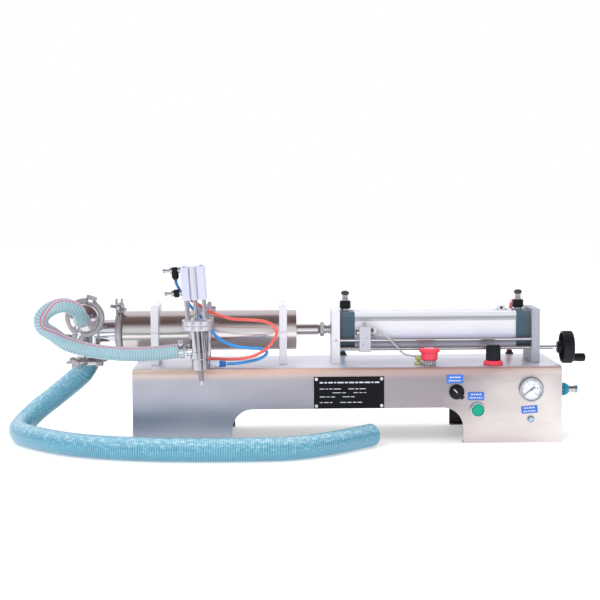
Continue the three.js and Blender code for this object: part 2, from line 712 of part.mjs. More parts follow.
function startBezel() {
  const bezel = solid(turned('y', [[-6.7, 0], [-6.7, 14], [-5.5, 15], [-GAP, 15], [-GAP, 0]]));
  const recess = solid(bar('y', -8, -2.2, 12.6));
  const bore = solid(bar('y', -8, 24, 5.5, SMALL));
  return cut(unite(bezel, controlBack(45)), recess, bore);
}
piece('start_bezel', castSteel, startBezel(), [START.x, FRONT, START.z]);

function startButton() {
  return turned('y', [[-9.5, 0], [-9.5, 11.5], [-8.7, 12.2], [-6.4, 12.2], [-6.4, 5], [16, 5], [16, 0]]);
}
piece('start_button', greenPlastic, startButton(), [START.x, FRONT, START.z]);

function gaugeCase() {
  return turned('y', [
    [-3.5, 0], [-3.5, 20.8], [-8, 20.8], [-8, 23], [-6.5, 24.3], [-GAP, 24.3], [-GAP, 19.7], [24, 19.7],
    [24, 6], [34, 6], [34, 0],
  ]);
}
piece('gauge_case', polishedSteel, gaugeCase(), [GAUGE.x, FRONT, GAUGE.z]);

const NEEDLE = { tip: 18, tail: 8, half: 0.9, rest: 216 };

function gaugeNeedle() {
  const outline = polygon([
    [-NEEDLE.tail, -1.4], [0, -NEEDLE.half], [NEEDLE.tip, -0.3], [NEEDLE.tip, 0.3], [0, NEEDLE.half],
    [-NEEDLE.tail, 1.4],
  ]);
  const pointer = solid(alongY(outline, -5.2, -4.4));
  const hub = solid(bar('y', -6, -4, 2.4, TINY));
  return unite(pointer, hub).rotate([0, -NEEDLE.rest, 0]);
}
piece('gauge_needle', blackPlastic, gaugeNeedle(), [GAUGE.x, FRONT, GAUGE.z]);

// Filter nipple and push-in inlet on the right end.
function airInlet() {
  return turned('x', [
    [-12, 0], [-12, 6.5], [GAP, 6.5], [GAP, 13.5], [26, 13.5], [33, 9], [33, 7], [47, 7], [47, 8],
    [51, 8], [51, 3.5], [35, 3.5], [35, 0],
  ]);
}
piece('air_inlet', tealFitting, airInlet(), [half.x, INLET.y, INLET.z]);

// Five-port valve that swaps the air between the two ends of the cylinder, hung under the top.
function airValve() {
  const body = solid(block([-50, -14, -42], [50, 14, -BEHIND]));
  const pilots = solid(bar('x', -66, 66, 11, SMALL)).translate([0, 0, -22]);
  return unite(body, pilots);
}
piece('air_valve', aluminium, airValve(), [80, 40, BASE.height]);

// ---------------------------------------------------------------- filling nozzle

const nozzle = new THREE.Group();
nozzle.position.set(NOZZLE.x, NOZZLE.y, NOZZLE.z);
nozzle.rotation.y = THREE.MathUtils.degToRad(NOZZLE.lean);
machine.add(nozzle);

const LIFTER = { side: 45, low: 89.5, high: 153 };
const FLANGE = { low: 31, high: 50, radius: 28.5 };
const POST = { offset: 16.5, radius: 3.4 };
const BARB = { z: -7, radius: 12, end: -25, bore: 8 };

// Speed controller screwed into the lifter's left face: stub, upright body and adjusting screw.
function sideControl(stubZ, low, high) {
  const stub = solid(bar('x', -42, -LIFTER.side / 2 + 2, 4.5, TINY)).translate([0, 0, stubZ]);
  const body = solid(turned('z', [
    [low, 0], [low, 5], [low + 4, 6.8], [high - 3, 6.8], [high, 5], [high, 0],
  ], SMALL));
  const screw = solid(bar('x', -56, -38, 2.6, TINY)).translate([0, 0, stubZ]);
  const head = solid(bar('x', -57, -53, 4, TINY)).translate([0, 0, stubZ]);
  return unite(stub, body.translate([-34, 0, 0]), screw, head);
}

function nozzleCylinder() {
  const side = LIFTER.side / 2;
  const body = solid(block([-side, -side, LIFTER.low], [side, side, LIFTER.high]));
  const rodBore = solid(bar('z', LIFTER.low - 1, 125, 5, SMALL));
  return cut(unite(body, sideControl(148, 130, 154), sideControl(104, 96, 111)), rodBore);
}
piece('nozzle_cylinder', aluminium, nozzleCylinder(), [0, 0, 0], nozzle);

function nozzleBody() {
  const shell = solid(turned('z', [
    [-68, 0], [-68, 4.6], [-46, 5], [-46, 15.5], [-25, 15.5], [-25, 17.4], [FLANGE.low, 17.4],
    [FLANGE.low, FLANGE.radius - 2], [FLANGE.low + 3, FLANGE.radius], [FLANGE.high, FLANGE.radius],
    [FLANGE.high, 0],
  ]));
  const barb = solid(bar('x', BARB.end, -10, BARB.radius)).translate([0, 0, BARB.z]);
  const posts = [[-1, -1], [-1, 1], [1, -1], [1, 1]].map(([u, v]) =>
    solid(bar('z', FLANGE.high - 2, LIFTER.low - GAP, POST.radius, TINY))
      .translate([u * POST.offset, v * POST.offset, 0]));
  const chamber = solid(turned('z', [
    [-70, 0], [-70, 3], [-45, 3], [-38, 12], [FLANGE.low + 7, 12], [FLANGE.low + 7, 5], [FLANGE.high + 1, 5],
    [FLANGE.high + 1, 0],
  ], SMALL));
  const barbBore = solid(bar('x', BARB.end - 1, 0, BARB.bore, SMALL)).translate([0, 0, BARB.z]);
  return cut(unite(shell, barb, ...posts), chamber, barbBore);
}
piece('nozzle_body', polishedSteel, nozzleBody(), [0, 0, 0], nozzle);

// Valve rod: its cone closes the tip and the lifter draws it up to fill.
function nozzleRod() {
  return turned('z', [[-78, 0], [-78, 1.6], [-44.2, 1.6], [-41.5, 4.5], [105, 4.5], [105, 0]], SMALL);
}
piece('nozzle_rod', polishedSteel, nozzleRod(), [0, 0, 0], nozzle);

// Post on the base with the bracket behind the nozzle's flange and a collar with two screws.
function nozzleStand() {
  const post = solid(bar('z', 0, 124, STAND.radius, SMALL));
  const foot = solid(bar('z', 0, 5, 12, SMALL));
  const bracket = solid(block([-33, -12, 83], [11, 12, 97]));
  const arm = solid(block([-33, -44, 83], [-18, -6, 97]));
  const collar = solid(block([-28, -12, 108], [8, 12, 123]));
  const sideScrew = solid(bar('x', 6, 16, 5.5, SMALL)).translate([0, 0, 114]);
  const topScrew = solid(bar('z', 120, 129, 4, SMALL)).translate([4, -4, 0]);
  return unite(post, foot, bracket, arm, collar, sideScrew, topScrew);
}
piece('nozzle_stand', aluminium, nozzleStand(), [STAND.x, STAND.y, BASE.height + GAP]);

// ---------------------------------------------------------------- hoses, tubes and cable

piece('product_hose', clearHose, hose(PRODUCT_HOSE));
piece('suction_hose', clearHose, hose(SUCTION_HOSE));
piece('nozzle_tube_blue', bluePolymer, hose(BLUE_TUBE));
piece('nozzle_tube_red', redPolymer, hose(RED_TUBE));
piece('sensor_cable', greyCable, hose(SENSOR_CABLE));

// Air tube from a hole in the rear of the top up to a speed controller's elbow.
function capTube(x) {
  const portZ = FLOW.seat + FLOW.port;
  const route = [
    [x, CAP_TUBE.footY, BASE.height + GAP], [x, CAP_TUBE.footY, 195], [x, 92, 238], [x, 72, 262],
    [x, 48, portZ + 2], [x, FLOW.elbow + 3 * GAP, portZ],
  ];
  return hose({ ...CAP_TUBE, route });
}
piece('cap_tube_blue', bluePolymer, capTube(FLOW.leftX));
piece('cap_tube_red', redPolymer, capTube(FLOW.rightX));

// ---------------------------------------------------------------- origin

const free = ['product_hose', 'suction_hose', 'nozzle_tube_blue', 'nozzle_tube_red', 'sensor_cable',
  'cap_tube_blue', 'cap_tube_red'];
const footprint = new THREE.Box3();
machine.updateMatrixWorld(true);
machine.traverse((item) => {
  if (item.isMesh && !free.includes(item.name)) footprint.expandByObject(item, true);
});
const middle = footprint.getCenter(new THREE.Vector3());
machine.position.set(-middle.x, -middle.y, 0);

export default machine;
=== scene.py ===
"""Bench-top pneumatic piston liquid filler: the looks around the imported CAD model.

Shapes are written in millimetres about the middle of the base on the bench, and become metres in the
row frame when a piece is finished.
"""
import math

import bmesh
import bpy
from mathutils import Matrix, Quaternion, Vector


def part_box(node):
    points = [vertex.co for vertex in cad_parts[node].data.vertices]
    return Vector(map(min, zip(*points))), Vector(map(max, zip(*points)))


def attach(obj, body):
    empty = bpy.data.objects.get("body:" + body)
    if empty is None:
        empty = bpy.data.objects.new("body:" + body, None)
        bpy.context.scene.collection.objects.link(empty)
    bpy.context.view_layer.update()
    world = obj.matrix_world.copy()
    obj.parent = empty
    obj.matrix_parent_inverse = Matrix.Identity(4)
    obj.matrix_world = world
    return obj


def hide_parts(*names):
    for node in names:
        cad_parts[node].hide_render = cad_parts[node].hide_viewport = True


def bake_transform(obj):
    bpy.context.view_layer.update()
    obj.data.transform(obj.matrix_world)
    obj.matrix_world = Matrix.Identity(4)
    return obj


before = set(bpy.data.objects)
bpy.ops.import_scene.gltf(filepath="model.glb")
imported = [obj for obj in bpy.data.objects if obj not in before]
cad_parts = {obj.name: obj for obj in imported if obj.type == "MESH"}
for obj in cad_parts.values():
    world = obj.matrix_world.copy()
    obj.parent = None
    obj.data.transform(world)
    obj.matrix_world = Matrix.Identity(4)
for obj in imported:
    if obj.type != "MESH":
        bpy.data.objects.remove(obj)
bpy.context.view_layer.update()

MM = 0.001
base_low, base_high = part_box("base_frame")
ORIGIN = Vector(((base_low.x + base_high.x) / 2, (base_low.y + base_high.y) / 2, 0))
TO_ROW = Matrix.Translation(ORIGIN) @ Matrix.Scale(MM, 4)
# How a shape built along X is turned to lie along each axis.
SWAP = {
    "x": Matrix(((1, 0, 0), (0, 1, 0), (0, 0, 1))),
    "y": Matrix(((0, 0, 1), (1, 0, 0), (0, 1, 0))),
    "z": Matrix(((0, 1, 0), (0, 0, 1), (1, 0, 0))),
}


def row(x, y, z):
    """A place in millimetres about the base, as metres in the row frame."""
    return tuple(TO_ROW @ Vector((x, y, z)))


def shift(x=0, y=0, z=0):
    return Matrix.Translation((x, y, z))


def turn(degrees, axis):
    return Matrix.Rotation(math.radians(degrees), 4, axis)


def framed(at, x_axis, y_axis, z_axis):
    """The move that puts a shape's own axes along the three given ones, at a point."""
    return Matrix.Translation(at) @ Matrix((x_axis, y_axis, z_axis)).transposed().to_4x4()


def in_scene(name, data):
    """A new object with this data, linked into the scene."""
    made = bpy.data.objects.new(name, data)
    bpy.context.scene.collection.objects.link(made)
    return made


# ---------------------------------------------------------------- sizes and places that pieces share

HALF_LENGTH = 420
HALF_DEPTH = 110
TOP = 150
SHEET = 2
BEND = 12

# The line of both cylinders and their rods, and the three lines in front of the barrel.
ROD_Z = 215
ROD_LINE = (0, 0, ROD_Z)
GUIDE = (0, -44, 197)
SPINDLE = (0, -44, 179.8)
SENSOR = (0, -50, 213.5)
VALVE_X = -517
OUTLET_Z = 247
FLOW_X = {"left": 1, "right": 351}
CAP_TUBE_Y = 98

# Where the controls' own axes stand on the panel (Y runs through it), on the top (Z) and on the end (X).
SELECTOR = (213, 0, 101)
START = (254, 0, 65.5)
GAUGE = (359, 0, 105)
PEDAL_SOCKET = (359, 0, 45.5)
STOP = (162.5, -82, 0)
REGULATOR = (289, -80, 0)
AIR_INLET = (0, -10, 90)


# ---------------------------------------------------------------- camera

FOCAL_TO_WIDTH = 1422.5 / 600
SENSOR_WIDTH = 36
camera_data = bpy.data.cameras.new("camera")
camera_data.sensor_width = SENSOR_WIDTH
camera_data.lens = SENSOR_WIDTH * FOCAL_TO_WIDTH
camera_data.clip_end = 60
camera = in_scene("camera", camera_data)
camera.location = row(-150.8, -2860.3, 512)
camera.rotation_mode = "QUATERNION"
aim = turn(-1.216, "Z") @ turn(90 - 4.745, "X") @ turn(-0.354, "Z")
camera.rotation_quaternion = aim.to_quaternion()
bpy.context.scene.camera = camera


# ---------------------------------------------------------------- materials


class Nodes:
    """Short ways to wire nodes into a tree."""

    def __init__(self, tree):
        self.tree = tree

    def node(self, kind, settings=(), **sockets):
        made = self.tree.nodes.new("ShaderNode" + kind)
        for key, value in dict(settings).items():
            setattr(made, key, value)
        for key, value in sockets.items():
            self.put(made.inputs[key.replace("_", " ")], value)
        return made

    def put(self, socket, value):
        if isinstance(value, bpy.types.NodeSocket):
            self.tree.links.new(value, socket)
        else:
            socket.default_value = value

    def spread(self, fac, low, high, start=0.3, end=0.7):
        """A value laid linearly from start..end onto low..high, and held at the ends."""
        made = self.node("MapRange", Value=fac, From_Min=start, From_Max=end, To_Min=low, To_Max=high)
        return made.outputs[0]

    def mix(self, fac, first, second):
        made = self.node("Mix", {"data_type": "RGBA"})
        self.put(made.inputs[0], fac)
        self.put(made.inputs[6], first)
        self.put(made.inputs[7], second)
        return made.outputs[2]

    def math(self, operation, first, second=0.0):
        made = self.node("Math", {"operation": operation})
        self.put(made.inputs[0], first)
        self.put(made.inputs[1], second)
        return made.outputs[0]

    def either(self, fac, first, second):
        made = self.node("MixShader", Fac=fac)
        self.put(made.inputs[1], first)
        self.put(made.inputs[2], second)
        return made.outputs[0]

    def times(self, first, second):
        return self.math("MULTIPLY", first, second)

    def away(self, value, middle):
        """How far a value lies from a middle, to either side."""
        return self.math("ABSOLUTE", self.math("SUBTRACT", value, middle))


class Look(Nodes):
    """A Principled material."""

    def __init__(self, name, **sockets):
        self.material = bpy.data.materials.new(name)
        self.material.use_nodes = True
        super().__init__(self.material.node_tree)
        self.shader = self.tree.nodes["Principled BSDF"]
        self.set(**sockets)

    def set(self, **sockets):
        for key, value in sockets.items():
            self.put(self.shader.inputs[key.replace("_", " ")], value)

    def noise(self, stretch, detail=3.0, rough=0.5):
        """Noise over the object's own space; stretch is how many of its cells go to a metre, each way."""
        where = self.node("Mapping", Vector=self.node("TexCoord").outputs["Object"], Scale=stretch).outputs[0]
        return self.node("TexNoise", Vector=where, Scale=1.0, Detail=detail, Roughness=rough).outputs["Fac"]

    def bump(self, height, strength, distance=0.0005):
        self.set(Normal=self.node("Bump", Height=height, Strength=strength, Distance=distance).outputs[0])


    def vary(self, fac, color, tone):
        """A colour that a noise makes a little darker and a little lighter."""
        return self.mix(self.spread(fac, 0, 1), shade(color, 1 - tone), shade(color, 1 + tone))


def shade(color, factor):
    """The colour made darker or lighter, as RGBA."""
    return tuple(min(1.0, c * factor) for c in color[:3]) + (1.0,)


def metal(name, color, rough, stretch, tone=0.06, grain=0.05, metallic=1.0, smudge=0.05):
    """Metal with fine tool or brush marks stretched as told, and faint smudges that vary its gloss."""
    look = Look(name, Metallic=metallic)
    marks = look.noise(stretch, 4.0, 0.6)
    patches = look.noise((14, 14, 14), 3.0)
    base = look.vary(marks, color, tone)
    look.set(Base_Color=look.mix(look.spread(patches, 0, 0.35), base, shade(color, 1 - 2 * tone)))
    gloss = look.spread(marks, max(0.02, rough - grain), rough + grain)
    look.set(Roughness=look.math("ADD", gloss, look.spread(patches, 0, smudge)))
    look.bump(marks, 0.12, 0.0002)
    return look.material


def plastic(name, color, rough=0.42, grain=2600, relief=0.12, tone=0.12, coat=0.0, sheen=0.45):
    """Moulded plastic: a fine spark-eroded grain, slight colour drift and edges rubbed a little lighter."""
    look = Look(name, Coat_Weight=coat, Coat_Roughness=0.12, Specular_IOR_Level=sheen)
    fine = look.noise((grain, grain, grain), 2.0)
    drift = look.noise((35, 35, 35), 3.0)
    base = look.vary(drift, color, tone)
    edge = look.spread(look.node("NewGeometry").outputs["Pointiness"], 0, 0.3, 0.53, 0.64)
    look.set(Base_Color=look.mix(edge, base, tuple(0.85 * c + 0.07 for c in color[:3]) + (1.0,)))
    gloss = look.spread(fine, rough - 0.05, rough + 0.05)
    look.set(Roughness=look.math("ADD", gloss, look.spread(drift, 0, 0.08)))
    look.bump(fine, relief, 0.0003)
    return look.material


def paint(name, color):
    """Sprayed paint: orange peel, faint dust and edges worn towards bare metal."""
    look = Look(name, Coat_Weight=0.06, Coat_Roughness=0.2, Specular_IOR_Level=0.2)
    peel = look.noise((420, 420, 420), 2.0)
    dust = look.noise((60, 60, 60), 5.0, 0.65)
    base = look.mix(look.spread(dust, 0, 0.5), shade(color, 1.0), shade(color, 1.35))
    edge = look.spread(look.node("NewGeometry").outputs["Pointiness"], 0, 0.55, 0.53, 0.62)
    look.set(Base_Color=look.mix(edge, base, (0.42, 0.47, 0.5, 1)))
    look.set(Roughness=look.spread(dust, 0.3, 0.46))
    look.bump(peel, 0.16, 0.0004)
    return look.material


def clear_hose(name, color, rings, painted_highlight=None, lines=()):
    """Soft clear hose: wire wound in its wall, painted highlight streaks along one side and pale painted
    highlight specks on the crests between the wires, and red marking lines; given a highlight colour, also a
    painted lit band along the upper side and a painted dark shade line along the lower side.

    rings is how many turns of wire there are to a metre; lines are shares of the way round.
    """
    look = Look(name, Roughness=0.26, IOR=1.4, Coat_Weight=0.4, Coat_Roughness=0.08)
    run = look.node("UVMap", {"uv_map": "run"}).outputs[0]
    along, around, _ = look.node("SeparateXYZ", Vector=run).outputs
    coil = look.math("ADD", look.times(along, rings), around)
    tent = look.away(look.math("FRACT", coil), 0.5)
    wire = look.spread(tent, 1, 0, 0.08, 0.26)
    cloud = look.noise((26, 26, 26), 4.0, 0.6)
    speck = look.noise((520, 520, 520), 3.0, 0.6)
    milk = look.mix(look.spread(cloud, 0, 1), shade(color, 0.9), shade(color, 1.12))
    drawn = look.node("Mapping", Vector=run, Scale=(95, 26, 1)).outputs[0]
    highlight_streak = look.node("TexNoise", Vector=drawn, Scale=1.0, Detail=5.0, Roughness=0.65).outputs["Fac"]
    if painted_highlight is not None:
        # Painted highlight: a lit band along the upper side, broken by streaks.
        lit = look.spread(look.away(around, 0.5), 0, 1, 0.37, 0.48)
        milk = look.mix(look.times(lit, look.spread(highlight_streak, 0.2, 0.8, 0.35, 0.6)), milk, painted_highlight)
        # Painted shade: a dark line along the lower side.
        low = look.spread(look.away(around, 0.74), 0.5, 0, 0.0, 0.07)
        milk = look.mix(low, milk, shade(color, 0.42))
    # Painted highlight: pale streaks along one side, the upper side on the suction hose.
    upper = look.spread(look.away(around, 0.5), 0, 1, 0.26, 0.42)
    highlight_streak = look.times(look.spread(highlight_streak, 0, 0.5, 0.5, 0.68), upper)
    milk = look.mix(highlight_streak, milk, (0.72, 0.87, 0.92, 1))
    wound = look.times(wire, look.spread(speck, 0.05, 0.38))
    coloured = look.mix(wound, milk, shade(color, 0.4))
    # Painted highlight: pale specks on the crests between the wires.
    pale = look.times(look.spread(tent, 0, 1, 0.36, 0.48), look.spread(speck, 0.05, 0.5))
    coloured = look.mix(pale, coloured, (0.8, 0.9, 0.93, 1))
    for place in lines:
        marked = look.spread(look.away(around, place), 1, 0, 0.009, 0.015)
        coloured = look.mix(marked, coloured, (0.74, 0.06, 0.14, 1))
    look.set(Base_Color=coloured, Transmission_Weight=look.spread(cloud, 0.05, 0.12))
    look.bump(tent, 0.25, 0.0006)
    return look.material


def tube_look(name, color):
    """Polyurethane air tube: glossy, faintly cloudy, with fine draw lines."""
    look = Look(name, Coat_Weight=0.5, Coat_Roughness=0.1, Subsurface_Weight=0.15, Subsurface_Scale=0.002)
    cloud = look.noise((60, 60, 60), 3.0)
    fine = look.noise((1500, 1500, 1500), 2.0)
    look.set(Base_Color=look.vary(cloud, color, 0.12))
    look.set(Roughness=look.spread(fine, 0.24, 0.36))
    look.bump(fine, 0.08, 0.0002)
    return look.material


def color_run(ramp, *stops):
    """Colours laid out along a 0..1 value, on a colour ramp node that takes that value."""
    elements = ramp.color_ramp.elements
    while len(elements) < len(stops):
        elements.new(0.5)
    for element, (where, color) in zip(elements, stops):
        element.position = where
        element.color = (*color, 1)
    return ramp.outputs[0]


def sheet_look():
    """Stainless sheet with painted light: a painted reflection running from lilac-grey to warm along its
    length, a painted pale reflection on the top, painted shade on the faces that look along the length, a
    painted warm highlight along the front bend and a painted dark reflection band higher on the bend.
    """
    look = Look("brushed_sheet")
    where = look.node("SeparateXYZ", Vector=look.node("TexCoord").outputs["Object"])
    facing = look.node("SeparateXYZ", Vector=look.node("NewGeometry").outputs["Normal"])
    drift = look.noise((5, 5, 9), 3.0, 0.55)
    left_end, right_end = -0.375, 0.465
    length_share = look.spread(where.outputs[0], 0, 1, left_end, right_end)
    across = look.math("ADD", length_share, look.spread(drift, -0.07, 0.07))
    # Painted reflection on the faces: lilac-grey at the left, darker in the middle, warm and pale at the
    # panel end.
    face = color_run(
        look.node("ValToRGB", Fac=across), (0.0, (0.48, 0.49, 0.55)), (0.2, (0.48, 0.475, 0.53)),
        (0.5, (0.38, 0.345, 0.37)), (0.72, (0.37, 0.33, 0.345)), (0.86, (0.68, 0.61, 0.58)),
        (1.0, (0.86, 0.79, 0.76)),
    )
    # Colour of the painted warm highlight on the front bend, brightest at the left end.
    bend = color_run(
        look.node("ValToRGB", Fac=across), (0.0, (1.0, 0.80, 0.65)), (0.22, (0.95, 0.66, 0.51)),
        (0.5, (0.66, 0.47, 0.42)), (0.8, (0.58, 0.40, 0.36)), (1.0, (0.86, 0.74, 0.68)),
    )
    grain = look.noise((14, 900, 900), 3.0, 0.5)
    smudge = look.noise((16, 16, 16), 4.0, 0.6)
    height, rise = where.outputs[2], facing.outputs[2]
    # Painted pale reflection on the top faces, which are also made less metallic.
    flat = look.spread(rise, 0, 1, 0.9, 0.985)
    front = look.spread(where.outputs[1], 1, 0, -0.064, -0.058)
    # On the front bend: the painted highlight low on it and on the top of the front face, and a painted dark
    # band higher on it, stronger towards the right.
    below_top = look.times(front, look.spread(rise, 1, 0, 0.86, 0.96))
    painted_bend_highlight = look.times(below_top, look.spread(height, 0, 1, 0.127, 0.144))
    painted_dark_band = look.times(below_top, look.spread(rise, 0, 1, 0.5, 0.8))
    painted_dark_band = look.times(painted_dark_band, look.spread(across, 0.05, 0.75, 0.25, 0.5))
    # Painted shade: faces that look along the length get a fixed grey.
    painted_end_shade = look.spread(look.math("ABSOLUTE", facing.outputs[0]), 0, 1, 0.6, 0.9)
    face = look.mix(painted_end_shade, face, (0.46, 0.43, 0.44, 1))
    base = look.mix(flat, face, (0.80, 0.81, 0.88, 1))
    base = look.mix(painted_bend_highlight, base, bend)
    base = look.mix(painted_dark_band, base, (0.22, 0.13, 0.11, 1))
    base = look.mix(look.spread(grain, 0, 0.06), base, (0.16, 0.15, 0.15, 1))
    # Where the painted highlight lies the sheet is mostly not metallic, so the lamps light its colour.
    full = look.math("SUBTRACT", 1.0, look.times(painted_bend_highlight, 0.72))
    look.set(Base_Color=base, Metallic=look.math("SUBTRACT", full, look.times(flat, 0.3)))
    gloss = look.math("ADD", look.spread(grain, 0.27, 0.32), look.spread(smudge, 0, 0.07))
    look.set(Roughness=gloss)
    look.bump(grain, 0.015, 0.0001)
    return look.material


def barrel_look():
    """Anodised extrusion: white flats, painted lilac shade below the middle, and painted grey shade in the
    groove beside each rib.
    """
    look = Look("anodised_barrel", Metallic=0.4)
    where = look.node("SeparateXYZ", Vector=look.node("TexCoord").outputs["Object"])
    draw = look.noise((10, 800, 800), 3.0)
    cloud = look.noise((9, 9, 9), 3.0)
    level = look.math("SUBTRACT", where.outputs[2], ROD_Z * MM)
    away = look.math("ABSOLUTE", level)
    # Painted shade: a grey band in the groove beside each rib.
    groove = look.times(look.spread(away, 0, 1, 0.0195, 0.0235), look.spread(away, 1, 0, 0.0255, 0.0315))
    white = look.mix(look.spread(draw, 0, 1), (0.88, 0.88, 0.93, 1), (0.92, 0.92, 0.96, 1))
    # Painted shade: lilac over the lower half.
    lilac = look.mix(look.spread(level, 1, 0, -0.017, 0.004), white, (0.70, 0.70, 0.86, 1))
    look.set(Base_Color=look.mix(groove, lilac, (0.34, 0.36, 0.39, 1)))
    look.set(Roughness=look.math("ADD", look.spread(draw, 0.32, 0.4), look.spread(cloud, 0, 0.06)))
    look.bump(draw, 0.1, 0.0002)
    return look.material


BRUSHED = sheet_look()
# Near-black metal for the inside of the cover: painted shade, for the sheet's inner faces that lie in shadow.
INSIDE_SHADE = metal("sheet_inside_painted_shade", (0.07, 0.06, 0.062), 0.55, (60, 60, 60), 0.1, 0.08)
TUBE_STEEL = metal("drawn_tube", (0.72, 0.655, 0.625), 0.19, (6, 700, 700), 0.05, 0.03, smudge=0.04)
CHROME = metal("polished_steel", (0.74, 0.73, 0.75), 0.07, (90, 90, 90), 0.03, 0.02, smudge=0.05)
TURNED_X = metal("turned_x", (0.70, 0.67, 0.65), 0.16, (1400, 0, 0), 0.06, 0.05)
TURNED_Z = metal("turned_z", (0.70, 0.68, 0.67), 0.15, (0, 0, 1400), 0.05, 0.04)
CAST = metal("cast_steel", (0.53, 0.50, 0.51), 0.38, (260, 260, 260), 0.12, 0.08, 0.7, smudge=0.1)
DARK_CAST = metal("worn_cast_steel", (0.36, 0.33, 0.34), 0.34, (260, 260, 260), 0.14, 0.08, 0.8, smudge=0.1)
SCREW = metal("screw_steel", (0.62, 0.61, 0.61), 0.25, (500, 500, 500), 0.08, 0.06)
BARREL = barrel_look()
SATIN = metal("satin_aluminium", (0.66, 0.66, 0.71), 0.4, (120, 120, 700), 0.05, 0.06, 0.6)
LIFTER = metal("lilac_extrusion", (0.70, 0.72, 0.86), 0.42, (600, 600, 10), 0.03, 0.05, 0.3)
DOME = metal("spun_dome", (0.78, 0.74, 0.74), 0.12, (0, 700, 0), 0.05, 0.04)
BLUE_STEEL = metal("blued_steel", (0.30, 0.48, 0.62), 0.22, (0, 900, 0), 0.1, 0.06, 0.8)
FLANGE = metal("turned_flange", (0.76, 0.76, 0.81), 0.26, (0, 0, 1200), 0.06, 0.06, 0.75)
TIP = metal("nozzle_tip", (0.30, 0.29, 0.32), 0.22, (0, 0, 1200), 0.1, 0.05)
SPOUT_STEEL = metal("spout_steel", (0.50, 0.49, 0.52), 0.11, (90, 90, 90), 0.05, 0.03)
COLUMN = metal("bright_column", (0.84, 0.84, 0.90), 0.3, (0, 0, 900), 0.03, 0.05, 0.55)
RIM_STEEL = metal("dark_chrome", (0.46, 0.47, 0.50), 0.12, (0, 900, 0), 0.08, 0.04)
PLATE = metal("white_anodised", (0.86, 0.85, 0.89), 0.5, (500, 40, 500), 0.02, 0.05, 0.15)
WORN_PLATE = metal("worn_anodised", (0.50, 0.52, 0.58), 0.45, (160, 160, 500), 0.14, 0.08, 0.35)
TEAL = paint("teal_enamel", (0.008, 0.056, 0.098))
SLATE = paint("slate_enamel", (0.028, 0.055, 0.078))
TEAL_FITTING = paint("teal_fitting", (0.015, 0.29, 0.42))
BLACK = plastic("black_plastic", (0.010, 0.011, 0.017), sheen=0.2)
BLACK_GLOSS = plastic("black_gloss", (0.008, 0.008, 0.011), 0.3, 900, 0.05, coat=0.1, sheen=0.2)
DARK_BRONZE = metal("dark_knob", (0.10, 0.09, 0.09), 0.32, (300, 300, 300), 0.12, 0.06, 0.6)
RED = plastic("red_plastic", (0.80, 0.045, 0.085), 0.36, coat=0.25)
GREEN = plastic("green_cap", (0.0, 0.38, 0.24), 0.34, 700, 0.08, coat=0.12, sheen=0.25)
GREY = plastic("grey_plastic", (0.26, 0.26, 0.28), 0.45)
WHITE = plastic("white_plastic", (0.80, 0.80, 0.79), 0.45)
DIAL = plastic("dial_enamel", (0.90, 0.92, 0.96), 0.35, 900, 0.03, tone=0.03)
RUBBER = plastic("black_rubber", (0.022, 0.022, 0.024), 0.6, 1200, 0.2)
BLUE_PLASTIC = plastic("blue_collar", (0.02, 0.14, 0.52), 0.35, coat=0.2)
PALE_BLUE = plastic("pale_blue_body", (0.70, 0.76, 0.88), 0.35, coat=0.3)
LABEL = plastic("blue_label", (0.04, 0.17, 0.66), 0.4, 500, 0.04)
INK = plastic("pale_ink", (0.72, 0.76, 0.84), 0.55, 1500, 0.04)
NAMEPLATE = plastic("black_nameplate", (0.003, 0.003, 0.006), 0.5, 1800, 0.06, tone=0.3, sheen=0.06)
YELLOW = plastic("yellow_green_gland", (0.52, 0.56, 0.22), 0.42)
CABLE = plastic("grey_cable", (0.50, 0.50, 0.52), 0.5, 1400, 0.1)
BLUE_TUBE = tube_look("blue_tube", (0.03, 0.33, 0.80))
RED_TUBE = tube_look("red_tube", (0.92, 0.13, 0.10))
SUCTION = clear_hose("suction_hose_wall", (0.085, 0.34, 0.47), 227, painted_highlight=(0.42, 0.70, 0.82, 1))
PRODUCT = clear_hose("product_hose_wall", (0.31, 0.50, 0.555), 200, lines=(0.46, 0.54))


def glass_look():
    """Clear window with a faint film on it."""
    look = Look("gauge_glass", Alpha=0.1, IOR=1.45, Base_Color=(0.9, 0.95, 1, 1))
    film = look.noise((90, 90, 90), 3.0)
    look.set(Roughness=look.spread(film, 0.0, 0.03))
    return look.material


GLASS = glass_look()


# ---------------------------------------------------------------- shapes, in millimetres


MOST_OF_LEG = 0.42


def corners_rounded(points, radius, closed=False, steps=3):
    """The polyline with its corners rounded, as far as the legs beside each corner allow."""
    points = [Vector(p) for p in points]
    count = len(points)
    out = []
    for i, here in enumerate(points):
        if not closed and i in (0, count - 1):
            out.append(here)
            continue
        back = points[i - 1] - here
        ahead = points[(i + 1) % count] - here
        reach = min(radius, MOST_OF_LEG * back.length, MOST_OF_LEG * ahead.length)
        straight = abs(back.normalized().dot(ahead.normalized()) + 1) < 0.02
        if reach < 0.02 or straight:
            out.append(here)
            continue
        start = here + back.normalized() * reach
        end = here + ahead.normalized() * reach
        for step in range(steps + 1):
            t = step / steps
            out.append(start * (1 - t) ** 2 + here * (2 * t * (1 - t)) + end * t * t)
    return out


def corners_flat(points, radius):
    """A closed outline with its corners rounded."""
    return [tuple(p) for p in corners_rounded(points, radius, True)]


